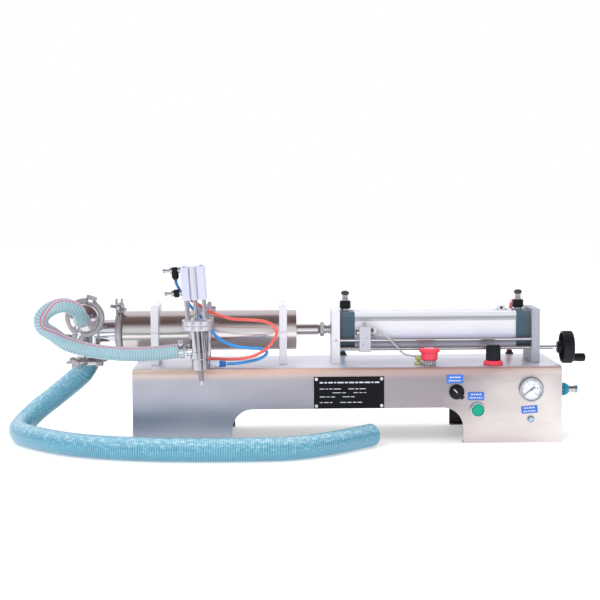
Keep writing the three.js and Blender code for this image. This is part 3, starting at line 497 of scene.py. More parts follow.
def turned(axis, profile, soft=0.4, facets=56, at=(0, 0, 0), closed=False):
    """Turned shape: profile points are (distance along the axis, radius)."""
    profile = corners_rounded(profile, soft, closed)
    bm = bmesh.new()
    rings = []
    for along, radius in profile:
        if radius < 1e-6:
            rings.append([bm.verts.new((along, 0, 0))])
            continue
        rings.append([bm.verts.new((along, u, v)) for u, v in polygon(radius, facets)])
    pairs = list(zip(rings, rings[1:]))
    if closed:
        pairs.append((rings[-1], rings[0]))
    for one, two in pairs:
        if len(one) == 1 and len(two) == 1:
            continue
        for k in range(facets):
            after = (k + 1) % facets
            if len(one) == 1:
                bm.faces.new((one[0], two[k], two[after]))
            elif len(two) == 1:
                bm.faces.new((one[k], two[0], one[after]))
            else:
                bm.faces.new((one[k], two[k], two[after], one[after]))
    bmesh.ops.recalc_face_normals(bm, faces=bm.faces)
    move = Matrix.Translation(at) @ SWAP[axis].to_4x4()
    bmesh.ops.transform(bm, matrix=move, verts=bm.verts)
    return bm


def solid(axis, profile, soft=0.4, facets=56, at=(0, 0, 0)):
    """Turned solid: an end of the profile that is off the axis is joined to it by a flat face."""
    first, last = profile[0], profile[-1]
    start = [(first[0], 0)] if first[1] else []
    end = [(last[0], 0)] if last[1] else []
    return turned(axis, [*start, *profile, *end], soft, facets, at)


def bar(axis, start, end, radius, soft=0.6, facets=40, at=(0, 0, 0)):
    return solid(axis, [(start, radius), (end, radius)], soft, facets, at)


def ring(axis, profile, soft=0.4, facets=56, at=(0, 0, 0)):
    """Turned ring: its profile is a closed loop clear of the axis."""
    return turned(axis, profile, soft, facets, at, True)


def block(low, high, soft=0.8, steps=2):
    """Box from its low corner to its high one, with its edges bevelled."""
    bm = bmesh.new()
    bmesh.ops.create_cube(bm, size=1)
    size = [b - a for a, b in zip(low, high)]
    middle = [(a + b) / 2 for a, b in zip(low, high)]
    move = Matrix.Translation(middle) @ Matrix.Diagonal((*size, 1))
    bmesh.ops.transform(bm, matrix=move, verts=bm.verts)
    if soft:
        bevel(bm, min(soft, 0.4 * min(size)), steps)
    return bm


def bevel(bm, soft, steps=2, edges=None):
    """Bevel the given edges, or every edge sharper than 40 degrees."""
    if edges is None:
        sharp = math.radians(40)
        edges = [e for e in bm.edges if len(e.link_faces) == 2 and e.calc_face_angle() > sharp]
    bmesh.ops.bevel(
        bm, geom=edges, offset=soft, segments=steps, profile=0.5, affect="EDGES", clamp_overlap=True
    )


def prism(axis, outline, start, end, soft=0.5, at=(0, 0, 0), steps=2):
    """Flat outline drawn out along an axis: (Y, Z) along x, (X, Z) along y, (X, Y) along z."""
    bm = bmesh.new()
    order = {"x": (2, 0, 1), "y": (0, 2, 1), "z": (0, 1, 2)}[axis]
    near, far = [
        [bm.verts.new([(u, v, w)[k] for k in order]) for u, v in outline] for w in (start, end)
    ]
    bm.faces.new(near)
    bm.faces.new(far)
    for k in range(len(outline)):
        after = (k + 1) % len(outline)
        bm.faces.new((near[k], near[after], far[after], far[k]))
    bmesh.ops.recalc_face_normals(bm, faces=bm.faces)
    if soft:
        bevel(bm, soft, steps)
    bmesh.ops.transform(bm, matrix=Matrix.Translation(at), verts=bm.verts)
    return bm


def arc(radius, start, sweep, steps=40):
    """Points along an arc about the origin, from a start and through a sweep in degrees."""
    angles = [math.radians(start + sweep * k / steps) for k in range(steps + 1)]
    return [(radius * math.cos(a), radius * math.sin(a)) for a in angles]


def polygon(radius, sides, start=0):
    """Corners of a regular polygon."""
    return arc(radius, start, 360, sides)[:-1]


def curve_through(points, spacing=2.0):
    """Centripetal Catmull-Rom curve through the points, sampled about every `spacing` millimetres."""
    points = [Vector(p) for p in points]
    points = [2 * points[0] - points[1], *points, 2 * points[-1] - points[-2]]
    dense = []
    for a, b, c, d in zip(points, points[1:], points[2:], points[3:]):
        k0, k1, k2 = (math.sqrt((q - p).length) for p, q in ((a, b), (b, c), (c, d)))
        m1 = ((b - a) / k0 - (c - a) / (k0 + k1) + (c - b) / k1) * k1
        m2 = ((c - b) / k1 - (d - b) / (k1 + k2) + (d - c) / k2) * k1
        for step in range(24):
            t = step / 24
            dense.append(b + m1 * t + (3 * (c - b) - 2 * m1 - m2) * t**2 + (2 * (b - c) + m1 + m2) * t**3)
    dense.append(points[-2])
    lengths = [0.0]
    for p, q in zip(dense, dense[1:]):
        lengths.append(lengths[-1] + (q - p).length)
    count = max(8, round(lengths[-1] / spacing))
    out, i = [], 0
    for k in range(count + 1):
        target = lengths[-1] * k / count
        while i < len(lengths) - 2 and lengths[i + 1] < target:
            i += 1
        t = (target - lengths[i]) / (lengths[i + 1] - lengths[i])
        out.append(dense[i].lerp(dense[i + 1], min(1, t)))
    return out


def swept(path, radius, sides=16, up=(0, 0, 1), uv=False, steady=False, twist=None):
    """Round tube along a path. radius is a number, or a function of the distance run.

    The seam keeps to the `up` side when steady, and otherwise follows the path without turning,
    with `twist` (share of the length -> turns) laid on top.
    """
    bm = bmesh.new()
    layer = bm.loops.layers.uv.new("run") if uv else None
    size = radius if callable(radius) else lambda run: radius
    tangents = []
    for i in range(len(path)):
        tangents.append((path[min(i + 1, len(path) - 1)] - path[max(i - 1, 0)]).normalized())
    side = Vector(up)
    run, rings, runs = 0.0, [], []
    for i, (point, tangent) in enumerate(zip(path, tangents)):
        if i:
            run += (point - path[i - 1]).length
        if steady:
            side = Vector(up)
        side = (side - tangent * side.dot(tangent)).normalized()
        other = tangent.cross(side)
        lead = twist(i / (len(path) - 1)) if twist else 0.0
        angles = [2 * math.pi * (k / sides + lead) for k in range(sides)]
        spokes = [side * math.cos(a) + other * math.sin(a) for a in angles]
        rings.append([bm.verts.new(point + spoke * size(run)) for spoke in spokes])
        runs.append(run * MM)
    for i in range(len(path) - 1):
        for k in range(sides):
            after = (k + 1) % sides
            face = bm.faces.new((rings[i][k], rings[i][after], rings[i + 1][after], rings[i + 1][k]))
            if uv:
                spots = ((i, k), (i, k + 1), (i + 1, k + 1), (i + 1, k))
                for loop, (j, around) in zip(face.loops, spots):
                    loop[layer].uv = (runs[j], around / sides)
    bm.faces.new(list(reversed(rings[0])))
    bm.faces.new(rings[-1])
    bmesh.ops.recalc_face_normals(bm, faces=bm.faces)
    return bm


def carved(bm, *tools, operation="DIFFERENCE"):
    """The shape with other shapes cut away, or joined on."""
    objects = []
    for shape in (bm, *tools):
        mesh = bpy.data.meshes.new("carving")
        shape.to_mesh(mesh)
        shape.free()
        objects.append(in_scene("carving", mesh))
    body = objects[0]
    for tool in objects[1:]:
        step = body.modifiers.new("cut", "BOOLEAN")
        step.object = tool
        step.operation = operation
        step.solver = "EXACT"
    graph = bpy.context.evaluated_depsgraph_get()
    out = bmesh.new()
    out.from_mesh(body.evaluated_get(graph).to_mesh())
    body.evaluated_get(graph).to_mesh_clear()
    for item in objects:
        mesh = item.data
        bpy.data.objects.remove(item)
        bpy.data.meshes.remove(mesh)
    bmesh.ops.dissolve_degenerate(out, dist=1e-4, edges=out.edges)
    return out


def skinned(bm, loops):
    """Faces from each loop of points to the next, and one over each end."""
    for one, two in zip(loops, loops[1:]):
        for k in range(len(one)):
            after = (k + 1) % len(one)
            bm.faces.new((one[k], one[after], two[after], two[k]))
    bm.faces.new(loops[0])
    bm.faces.new(list(reversed(loops[-1])))
    bmesh.ops.recalc_face_normals(bm, faces=bm.faces)


def moved(bm, matrix):
    """The shape itself, moved."""
    bmesh.ops.transform(bm, matrix=matrix, verts=bm.verts)
    return bm


SHARP_ANGLE = 38


class Piece:
    """Shapes gathered into one object, each with its own material.

    A shape is moved to the piece's own place, or by a move of its own instead.
    """

    def __init__(self, *shapes, at=(0, 0, 0), place=None):
        self.bm = bmesh.new()
        self.materials = []
        self.place = shift(*at) if place is None else place
        for bm, material in shapes:
            self.add(bm, material)

    def add(self, bm, material, move=None):
        moved(bm, self.place if move is None else move)
        if material not in self.materials:
            self.materials.append(material)
        index = self.materials.index(material)
        for face in bm.faces:
            face.material_index = index
            face.smooth = True
        if bm.loops.layers.uv and not self.bm.loops.layers.uv:
            self.bm.loops.layers.uv.new("run")
        mesh = bpy.data.meshes.new("part")
        bm.to_mesh(mesh)
        bm.free()
        self.bm.from_mesh(mesh)
        bpy.data.meshes.remove(mesh)
        return self

    def done(self, name, body, slot, *nodes, ride=True):
        mesh = bpy.data.meshes.new(name)
        moved(self.bm, TO_ROW)
        self.bm.to_mesh(mesh)
        self.bm.free()
        for material in self.materials:
            mesh.materials.append(material)
        mesh.set_sharp_from_angle(angle=math.radians(SHARP_ANGLE))
        made = in_scene(name, mesh)
        shading = made.modifiers.new("flat_faces", "WEIGHTED_NORMAL")
        shading.keep_sharp = True
        if ride:
            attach(made, body)
        if nodes:
            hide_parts(*nodes)
        return made


def cap_screw(axis, start, end, radius, at=(0, 0, 0)):
    """Socket-head screw whose head runs from start to end; its hexagon socket opens at end."""
    floor = end - 0.55 * (end - start)
    profile = [(start, radius), (end, radius), (end, 0.55 * radius), (floor, 0.5 * radius)]
    return solid(axis, profile, 0.3, 24, at)


# ---------------------------------------------------------------- hoses, tubes and cable

PRODUCT_ROUTE = [
    (-517, -93, 247), (-517, -104, 247.2), (-515, -120, 252), (-521, -143, 271), (-543, -156, 281),
    (-568, -161, 274), (-584, -163, 258), (-583, -163, 241), (-565, -160, 227), (-539, -156, 208),
    (-503, -152, 196), (-465, -149, 189), (-413, -147, 185), (-363, -147, 187), (-337, -146, 190),
    (-314.3, -145, 191.3),
]
SUCTION_ROUTE = [
    (-525.3, 0, 138.8), (-529.8, 0.3, 131), (-540.5, 4, 120.5), (-558, 9, 106), (-590, 16, 80),
    (-621, 18, 56), (-642, 8, 37), (-652, -20, 26), (-645, -68, 22.2), (-609, -126, 22.2),
    (-520, -208, 22.2), (-403, -256, 22.2), (-297, -272, 22.2), (-190, -274, 22.2),
    (-120, -267, 22.2), (-49, -227, 22.2), (44, -136, 22.2),
]
BLUE_ROUTE = [
    (-330.3, -145, 325.5), (-330, -141, 321), (-327, -120, 311), (-322, -109, 299), (-313, -107, 286),
    (-304, -107, 272), (-286, -107, 254), (-269, -105, 230), (-255, -104, 213), (-236, -102, 200),
    (-216, -100, 193), (-190, -98, 189), (-169, -96, 187), (-157, -95, 180), (-169, -94, 169),
    (-190, -93, 163), (-216, -93, 159), (-236, -93, 158),
]
RED_ROUTE = [
    (-329, -136.6, 304), (-328.8, -131, 303.7), (-320, -118, 299.5), (-305, -117, 287), (-288, -112, 276),
    (-275, -107, 265), (-247, -105, 254), (-223, -105, 247), (-190, -105, 245), (-159, -105, 241),
    (-142, -105, 231), (-138, -105, 218), (-145, -105, 204), (-157, -105, 189), (-175, -103, 178),
    (-198, -99, 170), (-224, -92, 167), (-247, -88, 167), (-262, -88, 168), (-277, -89, 168),
]
CABLE_ROUTE = [
    (66.8, -50, 213.5), (71, -50.3, 212.2), (84, -55, 201), (102, -56, 183), (114, -57, 171),
    (128, -57, 167), (139, -57, 165.5),
]
CAP_TUBE_ROUTE = [
    (CAP_TUBE_Y, 150.3), (CAP_TUBE_Y, 195), (92, 238), (72, 262), (48, 265.8), (26.9, 263.8),
]


def free_line(
    name, node, route, radius, material, slot,
    spacing=2.0, size=None, sides=16, up=(0, 0, 1), steady=False, twist=None,
):
    """A hose, tube or cable along its route. size is the radius if that varies."""
    path = curve_through(route, spacing)
    shape = swept(path, size or radius, sides, up, True, steady, twist)
    bends = name == "sensor_lead"
    made = Piece((shape, material)).done(name, "base", slot, node, ride=not bends)
    if bends:
        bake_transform(made)
    return path


def ribbed(radius, pitch, depth):
    """A hose's radius along its run: a shallow groove in every pitch."""
    return lambda run: radius - depth * 0.5 * (1 + math.cos(2 * math.pi * run / pitch))


def line_twist(share):
    """How the red marking lines of the product hose wander round it, from top to front to top again."""
    knots = ((0.0, -0.42), (0.2, -0.45), (0.31, -0.62), (0.5, -0.78), (1.0, -0.80))
    for (a, p), (b, q) in zip(knots, knots[1:]):
        if share <= b:
            u = (share - a) / (b - a)
            return p + (q - p) * u * u * (3 - 2 * u)
    return knots[-1][1]


PRODUCT_RADIUS = 14
SUCTION_RADIUS = 22
SUCTION_UP = (0, -0.55, 0.83)
product_path = free_line(
    "product_line", "product_hose", PRODUCT_ROUTE, PRODUCT_RADIUS, PRODUCT, "clear_hose",
    sides=36, spacing=1.25, size=ribbed(PRODUCT_RADIUS, 5.0, 0.2), up=(1, 0, 0), twist=line_twist,
)
suction_path = free_line(
    "suction_line", "suction_hose", SUCTION_ROUTE, SUCTION_RADIUS, SUCTION, "clear_hose",
    sides=40, spacing=1.1, size=ribbed(SUCTION_RADIUS, 4.4, 0.22), up=SUCTION_UP, steady=True,
)
AIR_TUBES = (("blue", "left", BLUE_ROUTE, 0.348, BLUE_TUBE), ("red", "right", RED_ROUTE, 0.396, RED_TUBE))
for color, _, route, length, material in AIR_TUBES:
    free_line(
        f"nozzle_line_{color}", f"nozzle_tube_{color}", route, 3, material, f"{color}_polymer",
    )
free_line(
    "sensor_lead", "sensor_cable", CABLE_ROUTE, 2, CABLE, "grey_cable", spacing=1.5,
)
for color, side, _, _, material in AIR_TUBES:
    free_line(
        f"cap_line_{color}", f"cap_tube_{color}", [(FLOW_X[side], y, z) for y, z in CAP_TUBE_ROUTE], 4,
        material, f"{color}_polymer", up=(1, 0, 0),
    )


# ---------------------------------------------------------------- base


def arch_outline(half, low, high, radius, steps=10):
    """Outline with square corners below and round ones above."""
    out = [(-half, low), (half, low)]
    for middle, start in ((half - radius, 0), (radius - half, 90)):
        out += [(middle + u, high - radius + v) for u, v in arc(radius, start, 90, steps)]
    return out


def build_base():
    """Folded cover: bent sheet, open below, with an arch through it and holes for the controls."""
    outer = prism("x", arch_outline(HALF_DEPTH, 0, TOP, BEND), -HALF_LENGTH, HALF_LENGTH, 0)
    at_an_end = [e for e in outer.edges if all(abs(v.co.x) > HALF_LENGTH - 1 for v in e.verts)]
    bevel(outer, 4.5, 5, edges=[e for e in at_an_end if any(v.co.z > 1 for v in e.verts)])
    inner = arch_outline(HALF_DEPTH - SHEET, SHEET, TOP - SHEET, BEND - SHEET)
    hollow = prism("x", inner, SHEET - HALF_LENGTH, HALF_LENGTH - SHEET, 0)
    mouth = block((-404, -94, -1), (404, 94, 3), 0)
    arch = prism("y", arch_outline(226, -1, 70, 40, 14), -112, 112, 0)
    control_hole = 11.3
    panel_holes = ((SELECTOR, control_hole), (START, control_hole), (GAUGE, 20))
    holes = [bar("y", -114, -104, radius, 0, at=at) for at, radius in panel_holes]
    holes += [bar("z", 144, 154, control_hole, 0, at=at) for at in (STOP, REGULATOR)]
    holes.append(bar("x", 414, 424, 7, 0, at=AIR_INLET))
    shell = carved(outer, hollow, mouth, arch, *holes)
    made = Piece((shell, BRUSHED)).done("base_cover", "base", "brushed_steel", "base_frame")
    made.data.materials.append(INSIDE_SHADE)
    # Faces inside the cover get the near-black metal as painted shade.
    skin = 0.8 * SHEET
    for face in made.data.polygons:
        x, y, z = (face.center - ORIGIN) / MM
        past_bend = math.hypot(max(0, abs(y) - HALF_DEPTH + BEND), max(0, z - TOP + BEND))
        inside = abs(x) < HALF_LENGTH - skin and abs(y) < HALF_DEPTH - skin and SHEET + 1 < z < TOP - skin
        if inside and past_bend < BEND - 1:
            face.material_index = 1
    edge = made.modifiers.new("edges", "BEVEL")
    edge.width = 0.0005
    edge.segments = 2
    edge.limit_method = "ANGLE"
    edge.angle_limit = math.radians(50)


build_base()


def dashes(piece, x, z, widths, gap, front, back, tall, soft, place=None):
    """A row of dashes in place of a line of text; a width of 0 leaves a gap in the row."""
    for width in widths:
        if width:
            piece.add(block((x, front, z - tall / 2), (x + width, back, z + tall / 2), soft, 1), INK, place)
        x += (width or 10) + gap


nameplate = Piece((block((-66.5, -111.1, 70.6), (71, -110.1, 133), 0.3), NAMEPLATE))
for x in (-61.5, 66):
    for z in (75.4, 128.2):
        nameplate.add(solid("y", [(-110.8, 3.4), (-112.4, 2.6), (-112.8, 0)], 0.3, 24, (x, 0, z)), WHITE)
        nameplate.add(block((x - 2, -113, z - 0.4), (x + 2, -112.5, z + 0.4), 0.1), GREY)
MARK_ROWS = [
    (121.5, (7, 5, 9, 4, 12, 6, 10, 5, 8, 11, 4, 9), 2.6), (109, (9, 4, 7, 14, 0, 11, 6, 12), 1.4),
    (101.5, (0, 0, 16, 8, 0, 9, 6, 5), 1.2), (93.5, (11, 6, 8, 0, 14, 7), 1.4),
    (82.5, (6, 9, 5, 0, 12, 8, 7, 9), 1.4),
]
for z, widths, tall in MARK_ROWS:
    dashes(nameplate, -55.0, z, widths, 2.4, -111.3, -111.05, tall, 0.08)
nameplate.done("nameplate", "base", "black_plastic")

labels = Piece()
for x, z, width, tall, lean in ((209.5, 126.5, 33, 17, 0), (251, 92.3, 32, 16.5, 0), (356, 65, 32, 15, -4)):
    place = shift(x, -110.35, z) @ turn(lean, "Y")
    u, v = width / 2, tall / 2
    outline = corners_flat([(-u, -v), (u, -v), (u, v), (-u, v)], 1.5)
    labels.add(prism("y", outline, -0.3, 0.25, 0), LABEL, place)
    for z_row, marks in ((3.2, (4, 3, 5, 4)), (-3.4, (3, 2.5, 3, 2, 3.5, 2))):
        start = -(sum(marks) + 1.5 * (len(marks) - 1)) / 2
        dashes(labels, start, z_row, marks, 1.5, -0.5, -0.28, 2.6, 0.05, place)
labels.done("panel_labels", "base", "blue_polymer")

jack = Piece(at=PEDAL_SOCKET)
bush = [(-110.2, 3), (-110.2, 7), (-112, 7), (-113.4, 5.4), (-116.5, 5.2), (-116.5, 3)]
jack.add(ring("y", bush), BLUE_STEEL)
jack.add(prism("y", polygon(6.6, 6), -114.6, -112.4, 0.3), SCREW)
jack.add(bar("y", -115.4, -108, 3.1), PALE_BLUE)
jack.done("pedal_socket", "base", "teal_fitting")

# ---------------------------------------------------------------- product cylinder

BEARER_BORE = 40.6

tube = Piece(at=ROD_LINE)
tube.add(ring("x", [
    (-449.6, 22), (-452.8, 22), (-452.8, 32), (-449.9, 32), (-447.6, 25.5), (-445, 25.5), (-445, 40),
    (-98, 40), (-98, 38), (-441, 38), (-441, 22),
], 0.7, 96), TUBE_STEEL)
tube.done("product_tube", "base", "polished_steel", "product_cylinder")


def bearer_half(x, level, edge):
    """Half of a bearer, from its joint at `level` to its far `edge`, with a half-round seat for the tube."""
    upper = edge > level
    seat = []
    for y, rise in arc(BEARER_BORE, 0, 180, 28):
        z = ROD_Z + (rise if upper else -rise)
        seat.append((y, max(z, level) if upper else min(z, level)))
    outline = [(50, level), *seat, (-50, level), (-50, edge), (50, edge)]
    clean = [p for k, p in enumerate(outline) if (Vector(p) - Vector(outline[k - 1])).length > 0.05]
    return prism("x", clean, x - 7.5, x + 7.5, 0.7)


for side, x in (("left", -380), ("right", -125)):
    lower = Piece((bearer_half(x, ROD_Z - 0.3, 150.3), PLATE))
    lower.done(f"bearer_{side}_lower", "base", "white_aluminium", f"support_{side}_lower")
    upper = Piece((bearer_half(x, ROD_Z + 0.3, 268), PLATE))
    for y in (-45, 45):
        upper.add(cap_screw("z", 267.2, 268.5, 3.4, (x, y, 0)), SCREW)
    upper.done(f"bearer_{side}_upper", "base", "white_aluminium", f"support_{side}_upper")

# ---------------------------------------------------------------- three-way valve


def ferrule(face, way):
    """Clamp ferrule on a pipe end: its face, its edge, and the slope back to the pipe."""
    return [(face, 32), (face + way * 3, 32), (face + way * 5.3, 25.5)]


def valve_tee():
    up = [*ferrule(157.65, 1), (262, 25.5), (269, 23), (274, 17), (276, 0)]
    column = solid("z", up, 2.5, 72, (VALVE_X, 0, 0))
    branch = solid("x", [(0, 23), (58, 23), *ferrule(63.85, -1)[::-1]], 0.6, 72, (VALVE_X, 0, ROD_Z))
    outlet = solid("y", [(0, 24.5), (-45, 24.5), *ferrule(-51.35, 1)[::-1]], 0.6, 72, (VALVE_X, 0, OUTLET_Z))
    return carved(column, branch, outlet, operation="UNION")


valve = Piece((valve_tee(), CHROME))
valve.add(ring("x", [(0, 22.8), (0, 24.2), (5, 23.6), (5, 22.8)], 0.5, at=(VALVE_X + 20, 0, ROD_Z)), CAST)
valve.done("valve_tee", "base", "polished_steel", "valve_body")

cone = Piece(at=(VALVE_X, 0, OUTLET_Z))
cone.add(ring("y", [
    (-51.65, 22), (-51.65, 32), (-54.6, 32), (-57.5, 30.4), (-62, 29.6), (-67, 27), (-72.5, 22), (-77, 17),
    (-80, 14), (-83, 12), (-91.6, 12), (-91.6, 9), (-81, 9), (-60, 22),
], 1.5, 80), DOME)
cone.done("outlet_cone", "base", "polished_steel", "outlet_reducer")

foot = Piece(at=(VALVE_X, 0, 0))
foot.add(solid("z", [(157.35, 32), (154.3, 32), (152, 25.5), (148, 22), (146, 0)], 0.8, 72), TURNED_Z)
foot.add(bar("z", -14.8, 4, 19, 1.0, 56), TURNED_Z, shift(VALVE_X, 0, 153.35) @ turn(30, "Y"))
foot.done("inlet_tail", "base", "polished_steel", "inlet_ferrule")


def clamp_band(start, end, tall):
    """One arm of a clamp: a grooved section run round local Z from one bearing to the other."""
    section = corners_rounded([
        (30.2, -7.5), (34.6, -7.5), (37.8, -5.4), (39, -2.6), (39, 2.6), (37.8, 5.4), (34.6, 7.5),
        (30.2, 7.5), (30.6, 5.2), (32.9, 3.6), (32.9, -3.6), (30.6, -5.2),
    ], 0.9, True)
    bm = bmesh.new()
    loops = []
    for u, v in arc(1, start, end - start):
        loops.append([bm.verts.new((r * u, r * v, z * tall)) for r, z in section])
    skinned(bm, loops)
    return bm


CLAMP_BOLT_Y = 49


def build_clamp(place, slim):
    """Hinged clamp about local Z, ears along +Y, cross bolt along X. A slim one is worn and low."""
    look = DARK_CAST if slim else CAST
    tall, wide = (0.55, 0.4) if slim else (1.0, 1.0)
    hinge = (7, 44.5, 5) if slim else (10.5, 45.8, 6.2)
    head_x, bolt_end, bolt_radius = (9, 24, 3.0) if slim else (0, 18, 3.9)
    piece = Piece(place=place)
    for start, end in ((98, 262), (278, 442)):
        piece.add(clamp_band(start, end, tall), look)
    for way in (-wide, wide):
        ear = [(2.2, 37), (11, 34), (12.4, 40), (12.4, 50), (10, 54), (2.4, 54)]
        ear = [(way * u, v) for u, v in ear]
        piece.add(prism("z", corners_flat(ear, 2.5), -7 * tall, 7 * tall, 1.4), look)
    for rise in (-5.4, 5.4):
        prong = [(-12.6, 45), (-5.5, 45), (-5.5, 63), (-7, 66), (-11, 66), (-12.6, 63)]
        if slim:
            prong = [(wide * u + 2, v - 6) for u, v in prong]
        piece.add(prism("z", corners_flat(prong, 1.6), rise - 2.1, rise + 2.1, 0.9), look)
    piece.add(block((-hinge[0], -hinge[1], -hinge[2]), (hinge[0], -37.8, hinge[2]), 2.2), look)
    piece.add(bar("z", -6.4, 6.4, 3.4, 0.8, 24, (0, -42, 0)), SCREW)
    piece.add(bar("x", -38, bolt_end, bolt_radius, 0.8, 24, (0, CLAMP_BOLT_Y, 0)), SCREW)
    head = [(12.6, 6), (16, 7.4), (24.5, 7.4), (26, 5.4)]
    piece.add(solid("x", head, 0.9, 24, (head_x, CLAMP_BOLT_Y, 0)), look)
    return piece


def build_wing_nut(place, lean):
    """Cast wing nut: round hub and two thick curved wings standing back from it."""
    piece = Piece(place=place @ shift(0, CLAMP_BOLT_Y, 0) @ turn(lean, "X"))
    hub = ring("x", [(-13.2, 4.3), (-13.2, 8.2), (-17, 8), (-23.5, 6.2), (-23.5, 4.3)], 0.8, 32)
    piece.add(hub, CAST)
    wing = corners_flat([
        (-22, 4.6), (-14, 5.6), (-15, 9.2), (-18.5, 12.8), (-23, 15.8), (-28.5, 17), (-30, 13.6), (-26.5, 9),
    ], 2.4)
    for flip in (0, 180):
        shape = prism("y", wing, -3.1, 3.1, 1.9, steps=3)
        piece.add(shape, CAST, piece.place @ turn(flip, "X"))
    return piece


# Each clamp's middle, the ways its bolt and its ears point, how far its wing nut is turned, and its build.
CLAMPS = {
    "cylinder": ((-453, 0, ROD_Z), (0, 1, 0), (0, 0, 1), 14, False),
    "outlet": ((VALVE_X, -51.5, OUTLET_Z), (0.939728, 0, -0.341922), (-0.341922, 0, -0.939728), 0, False),
    "inlet": ((VALVE_X, 0, 157.5), (1, 0, 0), (0, -1, 0), 55, True),
}
for name, (at, bolt, ears, lean, slim) in CLAMPS.items():
    across, outward = Vector(bolt), Vector(ears)
    place = framed(at, across, outward, across.cross(outward))
    clamp = build_clamp(place, slim)
    clamp.done(f"{name}_ring_clamp", "base", "cast_steel", f"{name}_clamp")
    nut = build_wing_nut(place, lean)
    nut.done(f"{name}_wing_nut", f"{name}_wing_nut", "cast_steel", f"{name}_clamp_nut")

# ---------------------------------------------------------------- rod string

plunger = Piece(at=ROD_LINE)
plunger.add(solid("x", [
    (-160, 37.7), (-152, 37.7), (-152, 34.7), (-147, 34.7), (-147, 37.7), (-128, 37.7), (-128, 34.7),
    (-123, 34.7), (-123, 37.7), (-115, 37.7),
], 0.8, 80), WHITE)
for x in (-151.5, -127.5):
    plunger.add(ring("x", [(x, 34.8), (x, 37.5), (x + 4, 37.5), (x + 4, 34.8)], 1.2, 80), RUBBER)
plunger.done("plunger", "piston", "white_plastic", "product_piston")

rod = Piece(at=ROD_LINE)
rod.add(solid("x", [(-114.7, 11), (-54.3, 11), (-50.3, 8)], 0.8), TURNED_X)
rod.done("push_rod", "piston", "polished_steel", "product_rod")

joint = Piece(at=ROD_LINE)
joint.add(prism("x", polygon(14.5, 6, 30), -50, -42, 1.0), CAST)
joint.add(solid("x", [(-42, 9.5), (-38, 9.5), (-37, 8), (-34, 8), (-33, 9.5), (-30, 9.5)]), TURNED_X)
joint.done("rod_joint", "piston", "cast_steel", "rod_coupling")

drive_rod = Piece(at=ROD_LINE)
drive_rod.add(solid("x", [(-29.7, 10), (299.7, 10)], 1.2), TURNED_X)
drive_rod.done("drive_rod", "piston", "polished_steel", "air_rod")

drive = Piece(at=ROD_LINE)
drive.add(solid("x", [
    (300, 31.2), (309, 31.2), (309, 28.5), (313, 28.5), (313, 31.2), (323, 31.2), (323, 28.5), (327, 28.5),
    (327, 31.2), (336, 31.2),
], 0.6), BLACK)
drive.done("drive_piston", "piston", "black_plastic", "air_piston")

# ---------------------------------------------------------------- plates, caps and barrel

GUIDE_HOLE = 4.2
SPINDLE_HOLE = 4.5
PLATE_SCREWS = ((-26, 189), (26, 189), (-26, 241), (26, 241))


def cross_holes(start, end, *holes):
    """Cutters along X, each given by its middle, its radius and its number of facets."""
    return [bar("x", start, end, radius, 0, facets, at) for at, radius, facets in holes]


def plate_with_holes(x):
    """End plate of the air cylinder, bored for the rod, the guide and the spindle."""
    body = block((x - 8, -50, 150.3), (x + 8, 50, 257), 0.8)
    holes = (ROD_LINE, 13, 40), (GUIDE, GUIDE_HOLE, 32), (SPINDLE, SPINDLE_HOLE, 32)
    return carved(body, *cross_holes(x - 12, x + 12, *holes))


left = Piece((plate_with_holes(-20), PLATE))
left.add(cap_screw("y", -49.6, -50.9, 2.2, (-20, 0, GUIDE[2])), SCREW)
wiper = [(-29.2, 10.6), (-29.2, 14.5), (-27.6, 14.5), (-27.6, 10.6)]
left.add(ring("x", wiper, 0.3, at=ROD_LINE), SCREW)
for y, z in PLATE_SCREWS:
    left.add(cap_screw("x", -28.4, -27.8, 4.2, (0, y, z)), SCREW)
left.done("plate_rod_end", "base", "white_aluminium", "plate_left")

right = Piece((plate_with_holes(379), WORN_PLATE))
for y, z in PLATE_SCREWS:
    right.add(cap_screw("x", 387.2, 390, 5, (0, y, z)), SCREW)
right.done("plate_wheel_end", "base", "white_aluminium", "plate_right")


def four_fold(points):
    """The points, then the same points turned by each further quarter turn."""
    out = []
    for quarter in range(4):
        a = math.radians(90 * quarter)
        for u, v in points:
            out.append((u * math.cos(a) - v * math.sin(a), u * math.sin(a) + v * math.cos(a)))
    return out


def cap_block(start, end, half, chamfer=9):
    """Square block along X with chamfered corners."""
    corner = [(half, chamfer - half), (half, half - chamfer)]
    return prism("x", four_fold(corner), start, end, 0.9, ROD_LINE)


def build_cap(name, node, start, end, looks, boss_x):
    """Cast end cap: two blocks of slightly different size and shade, and the boss of its speed controller."""
    middle = (start + end) / 2
    cap = Piece()
    cap.add(cap_block(start, middle + 0.3, 37.5), looks[0])
    cap.add(cap_block(middle - 0.3, end, 36.7), looks[1])
    cap.add(bar("z", 251.5, 253, 8.2, 0.3, 32, (middle + boss_x, 0, 0)), SCREW)
    cap.done(name, "base", "teal_paint", node)


build_cap("cap_rod_end", "air_cap_left", -11, 18, (SLATE, TEAL), -4)
build_cap("cap_wheel_end", "air_cap_right", 342, 370.7, (TEAL, SLATE), -6)

